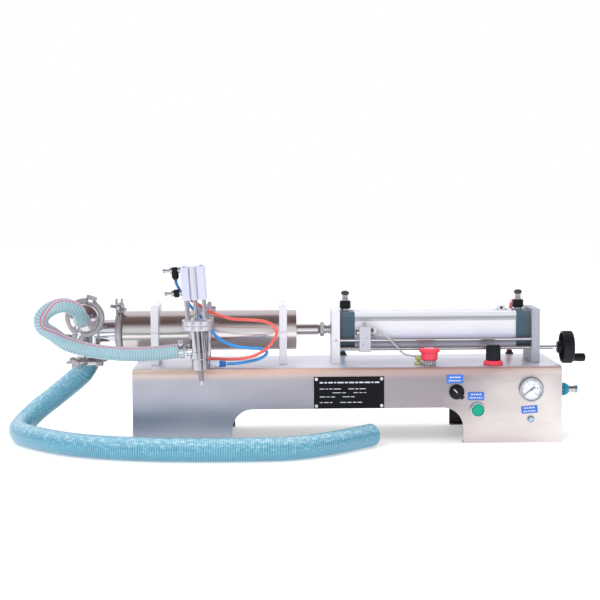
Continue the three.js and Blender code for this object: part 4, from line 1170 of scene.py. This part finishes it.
# A quarter of the barrel's section: flat side, shallow groove, slot and rounded tie-rod rib.
BARREL_QUARTER = [
    (33.6, -16), (33.6, 16), (34.2, 17.4), (34.2, 18.6), (35.6, 20), (36.6, 22), (37, 24.5), (37, 31),
    (36.2, 34), (34, 36.2), (31, 37), (24.5, 37), (22, 36.6), (20, 35.6), (18.6, 34.2), (17.4, 34.2),
]
outside = prism("x", four_fold(BARREL_QUARTER), 18.3, 341.7, 0, ROD_LINE)
barrel = Piece((carved(outside, bar("x", 10, 350, 31.5, 0, 96, ROD_LINE)), BARREL))
barrel.add(block((310, -8, 251.2), (324, 8, 261.5), 1.6), WHITE)
barrel.add(bar("y", -8.3, -5, 2.9, 0.3, 20, (316.5, 0, 256.6)), RUBBER)
barrel.add(block((306, -5, 251.2), (330, 5, 254.2), 0.8), SATIN)
barrel.done("barrel", "base", "aluminium", "air_barrel")

# ---------------------------------------------------------------- stroke adjustment

guide = Piece(at=GUIDE)
guide.add(solid("x", [(-26, 3.7), (385, 3.7)], 0.8, 32), CHROME)
guide.done("guide_bar", "base", "polished_steel", "guide_rod")


def thread(x_from, x_to, radius, pitch, depth, sides=16, per_turn=16):
    """Threaded bar: one continuous helical ridge, with plain ends."""
    bm = bmesh.new()
    count = int((x_to - x_from) / pitch * per_turn)
    loops = []
    for k in range(count + 1):
        x = x_from + (x_to - x_from) * k / count
        loop = []
        for j in range(sides):
            a = 2 * math.pi * j / sides
            phase = ((x - x_from) / pitch - j / sides) % 1
            reach = radius - depth * abs(2 * phase - 1)
            loop.append(bm.verts.new((x, reach * math.cos(a), reach * math.sin(a))))
        loops.append(loop)
    skinned(bm, loops)
    return bm


spindle = Piece(at=SPINDLE)
spindle.add(thread(-20, 372, 4.0, 5.0, 0.3), TURNED_X)
spindle.add(bar("x", -26, -19.9, 3.9, 0.8, 32), CHROME)
spindle.add(bar("x", 371.9, 448.9, 4, 0.8, 32), CHROME)
spindle.done("lead_screw", "spindle", "polished_steel", "adjust_spindle")


def ribs(piece, material, count, radius, axis, profile, soft=0.2, facets=8):
    """Thin turned ribs standing in a ring round the piece's own axis."""
    for u, v in polygon(radius, count):
        at = {"x": (0, u, v), "y": (u, 0, v), "z": (u, v, 0)}[axis]
        piece.add(solid(axis, profile, soft, facets, at), material)


CRANK_DROP = 21

wheel = Piece(at=SPINDLE)
wheel.add(turned("x", [
    (422, 4.4), (422, 10.5), (424, 12), (436, 12.6), (438.5, 15), (440, 27), (432, 28.4), (431, 30),
    (432, 31.6), (451.4, 31.6), (453, 30), (453, 26), (452.2, 22), (452.4, 0), (430, 0), (430, 4.4),
], 0.9, 96), BLACK_GLOSS)
ribs(wheel, BLACK_GLOSS, 40, 31.4, "x", [(433, 0), (433.8, 0.9), (450.4, 0.9), (451.2, 0)], 0.4, 10)
wheel.add(bar("x", 451, 473, 3, 0.5, 24, (0, 0, -CRANK_DROP)), SCREW)
wheel.done("stroke_wheel", "spindle", "black_plastic", "handwheel")

knob = Piece(at=(0, SPINDLE[1], SPINDLE[2] - CRANK_DROP))
knob.add(turned("x", [
    (453.3, 3.3), (453.3, 6.6), (455, 7.8), (468, 8.4), (476, 8.4), (478.6, 7), (480, 0), (473.3, 0),
    (473.3, 3.3),
], 1.0, 40), BLACK_GLOSS)
knob.add(solid("x", [(479.7, 2.6), (480.0, 2.4)], 0.1, 20), SCREW)
knob.done("crank_grip", "crank", "black_plastic", "crank_handle")

body = block((26, -58, 174), (49, -38.4, 225), 1.0)
holes = cross_holes(20, 60, (SENSOR, 6.3, 32), (GUIDE, GUIDE_HOLE, 32), (SPINDLE, SPINDLE_HOLE, 32))
carrier = Piece((carved(body, *holes), SATIN))
for x, z in ((40, 202.5), (33, 188.5)):
    carrier.add(cap_screw("y", -57.6, -58.7, 1.7, (x, 0, z)), SCREW)
carrier.add(bar("z", 224, 229, 2, 0.2, 20, (37.5, -49, 0)), SCREW)
carrier.add(solid("z", [(228.5, 3.2), (232, 3.2)], 0.6, 24, (37.5, -49, 0)), SCREW)
carrier.done("sensor_carrier", "sensor", "aluminium", "sensor_block")

probe = Piece(at=SENSOR)
probe.add(solid("x", [(20.6, 6), (63, 6)], 0.5, 32), TURNED_X)
probe.add(solid("x", [(19, 5.2), (21, 5.8), (23.5, 5.8)], 0.6, 32), BLACK)
probe.add(prism("x", polygon(8.7, 6), 49.3, 53, 0.6), SCREW)
probe.add(ring("x", [(53, 6), (53, 8.2), (54.4, 8.2), (54.4, 6)], 0.2, 32), SCREW)
probe.add(solid("x", [(54.4, 7), (56, 7.4), (60, 7.2), (63, 5), (66, 3.2), (66.5, 2.1)], 0.5, 32), CABLE)
probe.done("travel_sensor", "sensor", "cast_steel", "reed_sensor")

gland = Piece(place=shift(146, -57.6, 160) @ turn(35, "Y"))
collar = ring("z", [(150.2, 2.4), (150.2, 8.5), (152.5, 8.5), (154.5, 7.2), (154.5, 2.4)], 0.4, 32)
gland.add(collar, YELLOW, shift(143, -60, 0))
gland.add(solid("x", [(-9, 4), (-7, 5.4), (-1, 6.4), (4, 6.4)], 0.8, 32), YELLOW)
gland.add(prism("x", polygon(6.9, 6), -5, -1.5, 0.5), YELLOW)
gland.done("cable_gland", "base", "green_plastic")

# ---------------------------------------------------------------- speed controllers

ELBOW_Z = 263.8

for side, x in FLOW_X.items():
    control = Piece(at=(x, 0, 0))
    control.add(prism("z", polygon(9, 6), 252.8, 256.8, 0.6), SCREW)
    control.add(solid("z", [(256.9, 10.6), (258.2, 11.4), (271, 11.1), (272.8, 9.6)], 0.9, 48), BLACK)
    control.add(solid("z", [
        (272.4, 7.2), (274.2, 7.2), (274.2, 5.6), (275.6, 5.6), (275.6, 7.4), (277.4, 7.4), (277.4, 5.4),
        (279.7, 5.4),
    ], 0.3, 32), SCREW)
    control.add(bar("y", 2, 23, 6.5, 1.0, 32, (0, 0, ELBOW_Z)), BLACK)
    release = [(22.6, 4.1), (22.6, 6.2), (24.4, 6.2), (25.8, 5.2), (25.8, 4.1)]
    control.add(ring("y", release, 0.3, 32, (0, 0, ELBOW_Z)), BLUE_PLASTIC if side == "left" else RED)
    control.done(f"speed_control_{side}", "base", "black_plastic", f"flow_control_{side}")
    mushroom = Piece(at=(x, 0, 0))
    mushroom.add(solid("z", [(280.1, 6.3), (284.4, 6.3), (285.2, 5)], 0.4, 32), SCREW)
    top = [(285, 6.6), (286, 7.9), (289.6, 7.9), (291.4, 6.4), (292.6, 4.4), (292.8, 0)]
    mushroom.add(solid("z", top, 0.6, 48), DARK_BRONZE)
    ribs(mushroom, DARK_BRONZE, 20, 7.8, "z", [(286.2, 0.5), (289.4, 0.5)])
    mushroom.add(block((-3.4, -0.6, 292.2), (3.4, 0.6, 293), 0.15, 1), SCREW)
    mushroom.done(f"speed_knob_{side}", f"{side}_flow_knob", "black_plastic", f"flow_knob_{side}")
    grommet = Piece(at=(x, CAP_TUBE_Y, 0))
    seal = [(150.1, 4.2), (150.1, 8.6), (152.2, 8.6), (154, 6.2), (158, 5.6), (158, 4.2)]
    grommet.add(ring("z", seal, 0.6, 32), RUBBER)
    grommet.done(f"tube_grommet_{side}", "base", "black_plastic")

# ---------------------------------------------------------------- controls

stop = Piece(at=STOP)
stop.add(solid("z", [
    (150.3, 13.5), (153, 13.5), (158, 13), (160.4, 13), (160.4, 7.4), (152, 7.4),
], 0.4, 48), GREY)
ribs(stop, SCREW, 14, 12.9, "z", [(152.5, 0.9), (160.2, 0.9)], 0.3, 10)
stop.add(block((-14, -14, 106), (14, 14, 147.6), 1.0), BLACK)
stop.add(bar("z", 147, 151, 11, 0.3), GREY)
stop.done("stop_collar", "base", "grey_plastic", "e_stop_base")

head = Piece(at=STOP)
head.add(turned("z", [
    (161.2, 13.9), (161.2, 15.3), (170, 16), (175.4, 17), (177, 19.8), (178.2, 20.5), (181.4, 20.5),
    (183.2, 19.2), (184, 17), (184, 0), (168, 0), (168, 13.9),
], 0.8, 72), RED)
ribs(head, RED, 24, 15.5, "z", [(162, 0.7), (174, 1.1), (175.5, 0)])
head.add(ring("z", [(183.9, 8), (184.25, 8.4), (184.25, 9.4), (183.9, 9.8)], 0.1, 48), WHITE)
head.add(bar("z", 135, 168, 6.8, 0.5, 32), WHITE)
head.done("stop_button", "stop_head", "red_plastic", "e_stop_head")

regulator = Piece(at=REGULATOR)
regulator.add(solid("z", [
    (150.3, 18.4), (151, 19), (155, 19), (157, 17.6), (159, 16.5), (159, 4), (182, 4),
], 0.6, 64), RED)
ribs(regulator, RED, 28, 18.8, "z", [(150.8, 0.8), (155, 0.8)], 0.3)
regulator.add(solid("z", [(95, 17), (147.6, 17), (147.6, 11), (150.4, 11)], 0.8, 48), BLACK)
regulator.done("regulator_base", "base", "red_plastic", "regulator_body")

dial_knob = Piece(at=REGULATOR)
dial_knob.add(turned("z", [
    (159.3, 4.3), (159.3, 14), (160.5, 14.2), (186.8, 13.9), (189, 12.6), (190, 10.6), (190, 0), (182.3, 0),
    (182.3, 4.3),
], 0.7, 64), BLACK)
ribs(dial_knob, BLACK, 26, 13.8, "z", [(160.2, 0.8), (185.6, 0.7), (187, 0)])
dial_knob.add(ring("z", [(189.8, 6.8), (190.3, 7.1), (190.3, 8.1), (189.8, 8.4)], 0.1, 48), GREY)
dial_knob.done("pressure_dial", "pressure_knob", "black_plastic", "regulator_knob")


def panel_control(at, depth):
    """A control's start: its neck through the panel and the contact block behind it."""
    neck = bar("y", -110.8, -105.5, 11, 0.3)
    contacts = block((-15, -107.6, -15), (15, depth - HALF_DEPTH, 15), 1.2)
    return Piece((neck, BLACK), (contacts, BLACK), at=at)


selector = panel_control(SELECTOR, 50)
selector.add(solid("y", [(-110.3, 14.4), (-111.4, 14.7), (-113.4, 14.7), (-115, 13.2)], 0.5, 64), BLACK)
ribs(selector, BLACK, 40, 14.5, "y", [(-113.4, 0.55), (-110.8, 0.55)])
selector.done("selector_bezel", "base", "black_plastic", "selector_body")

pointer = Piece(at=SELECTOR)
pointer.add(solid("y", [(-115.3, 11), (-118.2, 10.8), (-119, 9.8)], 0.6, 56), BLACK_GLOSS)
grip = prism("y", corners_flat([(-4.2, -15.5), (4.2, -15.5), (3.4, 12.4), (-3.4, 12.4)], 1.8), -18, -8, 0.9)
leaning = shift(SELECTOR[0], -HALF_DEPTH, SELECTOR[2]) @ turn(-45, "Y")
pointer.add(grip, BLACK_GLOSS, leaning)
pointer.add(block((-0.8, -18.2, 1.0), (0.8, -17.6, 11), 0.2, 1), WHITE, leaning)
pointer.done("selector_grip", "mode_selector", "black_plastic", "selector_knob")

bezel = panel_control(START, 45)
bezel.add(ring("y", [
    (-110.3, 12), (-110.3, 14.6), (-111.2, 15), (-115.2, 15), (-117.6, 13.6), (-117.6, 12.2), (-112.2, 12),
], 0.5, 72), FLANGE)
bezel.done("start_ring", "base", "cast_steel", "start_bezel")

button = Piece(at=START)
button.add(solid("y", [
    (-119.5, 9.2), (-118.9, 10.6), (-117.9, 11.4), (-116.4, 11.4), (-116.4, 5), (-94, 5),
], 0.6, 64), GREEN)
button.add(ring("y", [(-119.4, 8.6), (-119.75, 8.9), (-119.75, 9.3), (-119.4, 9.6)], 0.1, 64), GREEN)
button.done("start_cap", "start", "green_plastic", "start_button")

DIAL_Y = -114.0
DIAL_START = 225
DIAL_SWEEP = 270

gauge = Piece(at=GAUGE)
gauge.add(solid("y", [
    (-113.5, 20.8), (-117.2, 20.8), (-118, 21.6), (-118, 23), (-116.5, 24.3), (-110.3, 24.3),
    (-110.3, 19.7), (-86, 19.7), (-86, 6), (-76, 6),
], 0.6, 80), RIM_STEEL)
gauge.add(solid("y", [(-113.6, 20.6), (-113.9, 20.6)], 0.05, 72), DIAL)
on_dial = gauge.place @ shift(0, DIAL_Y, 0)
for k in range(51):
    major = k % 10 == 0
    inner, outer = (14.2 if major else 16.4 if k % 5 else 15.6), 18.4
    wide = 0.35 if major else 0.16
    mark = block((inner, -0.1, -wide), (outer, 0.1, wide), 0)
    gauge.add(mark, BLACK, on_dial @ turn(DIAL_SWEEP * k / 50 - DIAL_START, "Y"))


scale_line = arc(19.3, DIAL_START, -DIAL_SWEEP) + arc(18.7, DIAL_START, -DIAL_SWEEP)[::-1]
gauge.add(prism("y", scale_line, -0.12, 0.1, 0), BLACK, on_dial)


def numeral(text, size):
    """Flat numeral as a thin solid, facing -Y."""
    data = bpy.data.curves.new("numeral", "FONT")
    data.body = text
    data.size = size
    data.extrude = 0.1
    data.align_x = "CENTER"
    data.align_y = "CENTER"
    thing = in_scene("numeral", data)
    bm = bmesh.new()
    bm.from_mesh(thing.evaluated_get(bpy.context.evaluated_depsgraph_get()).to_mesh())
    bpy.data.objects.remove(thing)
    bpy.data.curves.remove(data)
    return moved(bm, turn(90, "X"))


for k in range(6):
    angle = math.radians(DIAL_START - DIAL_SWEEP * k / 5)
    where = shift(11.6 * math.cos(angle), 0, 11.6 * math.sin(angle))
    gauge.add(numeral(str(2 * k), 4.0), BLACK, on_dial @ where)
gauge.done("gauge", "base", "polished_steel", "gauge_case")

window = Piece(at=GAUGE)
window.add(solid("y", [(-116.6, 20.7), (-117.1, 20.7)], 0.1, 72), GLASS)
window.done("gauge_window", "base", "polished_steel")

needle = Piece(at=GAUGE)
hand = prism("y", [(-8, -1.9), (-2, -1.3), (18, -0.5), (18, 0.5), (-2, 1.3), (-8, 1.9)], -0.35, 0.35, 0)
needle.add(hand, BLACK, needle.place @ shift(0, DIAL_Y - 0.9, 0) @ turn(-216, "Y"))
needle.add(solid("y", [(-115.8, 1.8), (-115.3, 2.3), (-114.3, 2.3)], 0.2, 24), BLACK)
needle.done("gauge_hand", "needle", "black_plastic", "gauge_needle")

inlet = Piece(at=AIR_INLET)
inlet.add(prism("x", polygon(13.9, 6, 30), 420.3, 432, 1.0), TEAL_FITTING)
inlet.add(solid("x", [
    (408, 6.5), (420.4, 6.5), (420.4, 12), (446, 12.6), (448, 12), (453, 8.6),
], 0.8, 48), TEAL_FITTING)
for x in (435, 439, 443):
    inlet.add(ring("x", [(x, 12.2), (x, 13.4), (x + 2, 13.4), (x + 2, 12.2)], 0.4, 48), TEAL_FITTING)
inlet.add(solid("x", [(452.6, 7), (459, 7), (459, 6), (461, 6), (461, 7), (467, 7)], 0.5, 40), SCREW)
inlet.add(ring("x", [(467, 3.5), (467, 8), (471, 8), (471, 3.5)], 0.6, 40), BLUE_STEEL)
inlet.done("air_nipple", "base", "teal_fitting", "air_inlet")

solenoid = Piece(at=(80, 40, 128))
solenoid.add(block((-50, -14, -20), (50, 14, 19.6), 1.2), SATIN)
for way in (-1, 1):
    end_cap = [(way * 49.8, 11), (way * 64, 11), (way * 66, 8)]
    solenoid.add(solid("x", end_cap, 0.8, 32), BLACK)
solenoid.done("air_changeover", "base", "aluminium", "air_valve")

# ---------------------------------------------------------------- filling nozzle

NOZZLE = shift(-288, -145, 200) @ turn(-3.8, "Y")

# A quarter of the lifter's section: a flat panel each side of the hollow that a round column fills.
LIFTER_QUARTER = [
    (22.5, -21.6), (22.5, -8.6), (22, -8), (16.5, -7.6), (16.5, 7.6), (22, 8), (22.5, 8.6), (22.5, 21.6),
]


def side_control(piece, stub_z, low, high):
    """Speed controller on the lifter's left: stub, round body and adjusting screw."""
    stub = (0, 0, stub_z)
    body = [(low, 4.6), (low + 2.5, 5), (low + 4, 6.8), (high - 3, 6.8), (high, 4.8)]
    piece.add(solid("x", [(-42, 4.5), (-26, 4.5), (-26, 5.8), (-22.2, 5.8)], 0.4, 32, stub), SCREW)
    piece.add(solid("z", body, 0.9, 36, (-34, 0, 0)), BLACK)
    piece.add(solid("x", [(-56, 2.6), (-43.4, 3), (-43, 6), (-40, 6)], 0.3, 28, stub), SCREW)
    piece.add(solid("x", [(-57, 3.2), (-56.2, 4), (-53.4, 4), (-53, 2.4)], 0.3, 24, stub), SCREW)


lifter = Piece((prism("z", four_fold(LIFTER_QUARTER), 89.5, 153, 0.4), LIFTER), place=NOZZLE)
for quarter in range(4):
    spin = NOZZLE @ turn(90 * quarter, "Z")
    lifter.add(bar("z", 89.8, 153.2, 6.7, 0.5, 40, (15.8, 0, 0)), COLUMN, spin)
    lifter.add(cap_screw("z", 152.6, 153.9, 3.6, (16, 16, 0)), SCREW, spin)
side_control(lifter, 148, 130, 154)
side_control(lifter, 104, 96, 111)
lifter.done("lifter", "base", "aluminium", "nozzle_cylinder")

spout = Piece(place=NOZZLE)
spout.add(solid("z", [
    (-48, 13), (-46, 15.5), (-26, 15.5), (-25.2, 15.9), (-24.5, 17.4), (31, 17.4),
], 0.5, 72), SPOUT_STEEL)
spout.add(solid("z", [(-60, 3.2), (-68, 3.2), (-68, 4.3), (-66.5, 4.7), (-47, 5.2)], 0.4, 48), TIP)
level_flange = Matrix.Translation(NOZZLE @ Vector((0, 0, 40.5)))
spout.add(solid("z", [
    (-10, 27.6), (-8.8, 28.9), (-1.2, 28.9), (-0.4, 28.2), (0.4, 28.2), (1.2, 28.9), (8.8, 28.9), (10, 27.6),
], 0.5, 96), FLANGE, level_flange)
spout.add(ring("z", [(-14, 17.2), (-14, 18.0), (-10, 18.0), (-10, 17.2)], 0.4, 72), SPOUT_STEEL)
for u in (-16.5, 16.5):
    for v in (-16.5, 16.5):
        spout.add(bar("z", 49, 89.2, 3.4, 0.3, 28, (u, v, 0)), CHROME)
        spout.add(prism("z", polygon(5.6, 6), 50, 54, 0.4, (u, v, 0)), SCREW)
barb = [(-25, 8), (-25, 11.4), (-23.5, 12), (-21, 10.8), (-18.5, 12), (-12, 12), (-12, 8)]
spout.add(ring("x", barb, 0.5, 48, (0, 0, -7)), CHROME)
spout.done("spout", "base", "polished_steel", "nozzle_body")

plug_rod = Piece(place=NOZZLE)
plug_rod.add(solid("z", [
    (-78, 0), (-77, 1.3), (-76, 1.6), (-44.2, 1.6), (-41.5, 4.5), (105, 4.5),
], 0.4, 32), CHROME)
plug_rod.add(ring("z", [(58, 4.4), (58, 6.5), (62, 6.5), (62, 4.4)], 0.5, 32), SCREW)
plug_rod.done("plug_rod", "nozzle_valve", "polished_steel", "nozzle_rod")

POST = (-273, -72, 0)
stand = Piece()
stand.add(bar("z", 152, 274.3, 6, 0.8, 40, POST), CHROME)
stand.add(solid("z", [(150.3, 12), (153.6, 12), (155.3, 10)], 0.6, 40, POST), TURNED_Z)
stand.add(block((-306, -84, 233.3), (-262, -60, 247.3), 1.4), SATIN)
stand.add(block((-306, -116, 233.3), (-291, -78, 247.3), 1.4), SATIN)
stand.add(block((-301, -84, 258.3), (-265, -60, 273.3), 1.6), SATIN)
lock_screw = [(-267, 4.2), (-264, 5.5), (-259, 5.5), (-257, 4.2)]
stand.add(solid("x", lock_screw, 0.9, 28, (0, -72, 264.3)), SCREW)
stand.add(cap_screw("z", 273, 279, 4, (-269, -76, 0)), SCREW)
stand.add(bar("x", -312, -262, 1.6, 0.4, 16, (0, -86.5, 240.3)), SCREW)
stand.done("nozzle_bracket", "base", "aluminium", "nozzle_stand")

BLUE_ELBOW = (0, -93, 158)
RED_ELBOW = (0, -89, 168)
fittings = Piece()
blue_body = [(-269, 6.4), (-266, 7.6), (-252, 7.6), (-250.6, 6.8)]
fittings.add(solid("x", blue_body, 0.7, 36, BLUE_ELBOW), PALE_BLUE)
blue_foot = [(150.2, 7.2), (153, 7.2), (153, 6), (158, 6)]
fittings.add(solid("z", blue_foot, 0.4, 36, (-264, BLUE_ELBOW[1], 0)), SCREW)
blue_collar = [(-250.6, 3.1), (-250.6, 6.4), (-240, 5.6), (-237.4, 5), (-237.4, 3.1)]
fittings.add(ring("x", blue_collar, 0.6, 36, BLUE_ELBOW), BLUE_PLASTIC)
red_body = [(150.2, 7), (154, 7), (154, 6), (172, 6), (174, 5)]
fittings.add(solid("z", red_body, 0.5, 36, (-284, RED_ELBOW[1], 0)), PALE_BLUE)
fittings.add(ring("x", [(-279, 3.1), (-279, 5), (-274, 5), (-274, 3.1)], 0.4, 32, RED_ELBOW), RED)
fittings.done("push_in_elbows", "base", "blue_polymer")


def hose_clip(piece, path, index, radius, screw_way):
    """Worm-drive band round a hose with its screw housing standing off on one side."""
    here, tangent = path[index], (path[index + 2] - path[index - 2]).normalized()
    across = Vector(screw_way) - tangent * Vector(screw_way).dot(tangent)
    across.normalize()
    place = framed(here, tangent, across.cross(tangent), across)
    inner, outer = radius - 0.4, radius + 0.7
    piece.add(ring("x", [(-4.5, inner), (-4.5, outer), (4.5, outer), (4.5, inner)], 0.3, 64), SCREW, place)
    for k in range(9):
        notch = block((-3, -0.35, radius + 0.6), (3, 0.35, radius + 0.95), 0.1, 1)
        piece.add(notch, GREY, place @ turn(-25 - 7 * k, "X"))
    piece.add(block((-5.2, -6.5, radius + 0.2), (5.2, 6.5, radius + 6.2), 1.6), SCREW, place)
    piece.add(bar("y", -10.5, -6, 3.3, 0.6, 6, (0, 0, radius + 3.4)), SCREW, place)


clips = Piece()
hose_clip(clips, product_path, len(product_path) - 7, PRODUCT_RADIUS, (0.1, -0.35, 1))
hose_clip(clips, product_path, 7, PRODUCT_RADIUS, (-0.3, 0, 1))
clips.done("hose_clips", "base", "cast_steel")

# The suction hose's cut end: the wall's pale edge round a black disc, painted shade in the bore.
run_out = (suction_path[-1] - suction_path[-4]).normalized()
side = run_out.cross(Vector((0, 0, 1))).normalized()
bore = Piece(place=framed(suction_path[-1], run_out, side, run_out.cross(side)))
bore.add(ring("x", [(-0.4, 18.6), (-0.4, 21.6), (0.9, 21.6), (0.9, 18.6)], 0.4, 56), SUCTION)
# Painted shade: a black disc across the bore.
bore.add(solid("x", [(-0.3, 18.7), (0.25, 18.7)], 0.1, 56), BLACK)
bore.done("suction_hose_mouth", "base", "clear_hose")

# The hose's top end, pushed over the bent tail.
cuff_path = curve_through([(-517.8, 0, 152), (-519.5, 0, 148.5), (-522.4, 0, 143.6), (-525.3, 0, 138.6)], 1.1)
cuff = Piece((swept(cuff_path, SUCTION_RADIUS + 0.6, 40, SUCTION_UP, True, True), SUCTION))
cuff.done("suction_hose_cuff", "base", "clear_hose")

# ---------------------------------------------------------------- floor and light


def floor_look():
    """Matt near-white studio floor that glows a little, so that it stays pale under the machine."""
    look = Look("studio_floor", Specular_IOR_Level=0.15, Emission_Color=(1, 1, 1, 1), Emission_Strength=0.42)
    faint = look.noise((3, 3, 3), 3.0)
    look.set(Base_Color=look.mix(look.spread(faint, 0, 1), (0.78, 0.78, 0.79, 1), (0.82, 0.82, 0.82, 1)))
    look.set(Roughness=look.spread(faint, 0.5, 0.6))
    return look.material


floor_mesh = bpy.data.meshes.new("floor")
floor_mesh.from_pydata([(-6, -1.2, 0), (6, -1.2, 0), (6, 10, 0), (-6, 10, 0)], [], [(0, 1, 2, 3)])
floor_mesh.materials.append(floor_look())
floor = in_scene("floor", floor_mesh)
floor.location.z = -0.0005


def studio_world():
    """Plain pale to the eye. For gloss: a dim room, soft boxes in front and at each side, white behind."""
    world = bpy.data.worlds.new("studio")
    world.use_nodes = True
    sky = Nodes(world.node_tree)
    sky.tree.nodes.clear()
    east, north, rise = sky.node("SeparateXYZ", Vector=sky.node("TexCoord").outputs["Generated"]).outputs
    bearing = sky.math("ABSOLUTE", sky.math("ARCTAN2", east, sky.times(north, -1.0)))
    share = sky.spread(bearing, 0, 1, 0.0, math.pi)
    room = (0.10, 0.095, 0.12)
    box = (1, 1, 1)
    behind = (0.95, 0.95, 1.0)
    around = color_run(
        sky.node("ValToRGB", Fac=share), (0.0, (0.90, 0.94, 1.0)), (0.085, (0.84, 0.88, 0.98)), (0.11, room),
        (0.24, room), (0.26, box), (0.34, box), (0.36, room), (0.55, room), (0.64, behind), (1.0, behind),
    )
    room_above = color_run(
        sky.node("ValToRGB", Fac=rise), (0.0, (0.12, 0.08, 0.075)), (0.35, (0.11, 0.072, 0.066)),
        (0.62, (0.12, 0.078, 0.072)), (0.85, (0.15, 0.10, 0.095)), (1.0, (0.21, 0.15, 0.15)),
    )
    ceiling = sky.mix(sky.spread(north, 0, 1, 0.0, 0.3), room_above, (0.80, 0.77, 0.84, 1))
    glossy = sky.mix(sky.spread(rise, 0, 1, 0.28, 0.72), around, ceiling)
    shiny = sky.node("Background", Color=glossy, Strength=1.0).outputs[0]
    soft = sky.node("Background", Color=(0.90, 0.90, 0.96, 1), Strength=0.8).outputs[0]
    plain = sky.node("Background", Color=(1, 1, 1, 1), Strength=1.0).outputs[0]
    paths = sky.node("LightPath").outputs
    lit = sky.either(paths["Is Glossy Ray"], soft, shiny)
    sky.node("OutputWorld", Surface=sky.either(paths["Is Camera Ray"], lit, plain))
    bpy.context.scene.world = world


studio_world()


def soft_light(name, at, target, size, power):
    """A lamp that lights the object but shows neither to the camera nor in its gloss."""
    data = bpy.data.lights.new(name, "AREA")
    data.shape = "RECTANGLE"
    data.size, data.size_y = size
    data.energy = power
    lamp = in_scene(name, data)
    lamp.location = at
    lamp.rotation_mode = "QUATERNION"
    lamp.rotation_quaternion = (Vector(target) - Vector(at)).to_track_quat("-Z", "Y")
    lamp.visible_glossy = False
    lamp.visible_camera = False


soft_light("key", (-1.4, -2.2, 2.6), (0, 0, 0.1), (2.2, 1.6), 55)
soft_light("top", (0.2, 0.3, 2.8), (0, 0, 0.1), (3.0, 2.0), 30)

bpy.context.scene.view_settings.view_transform = "Standard"
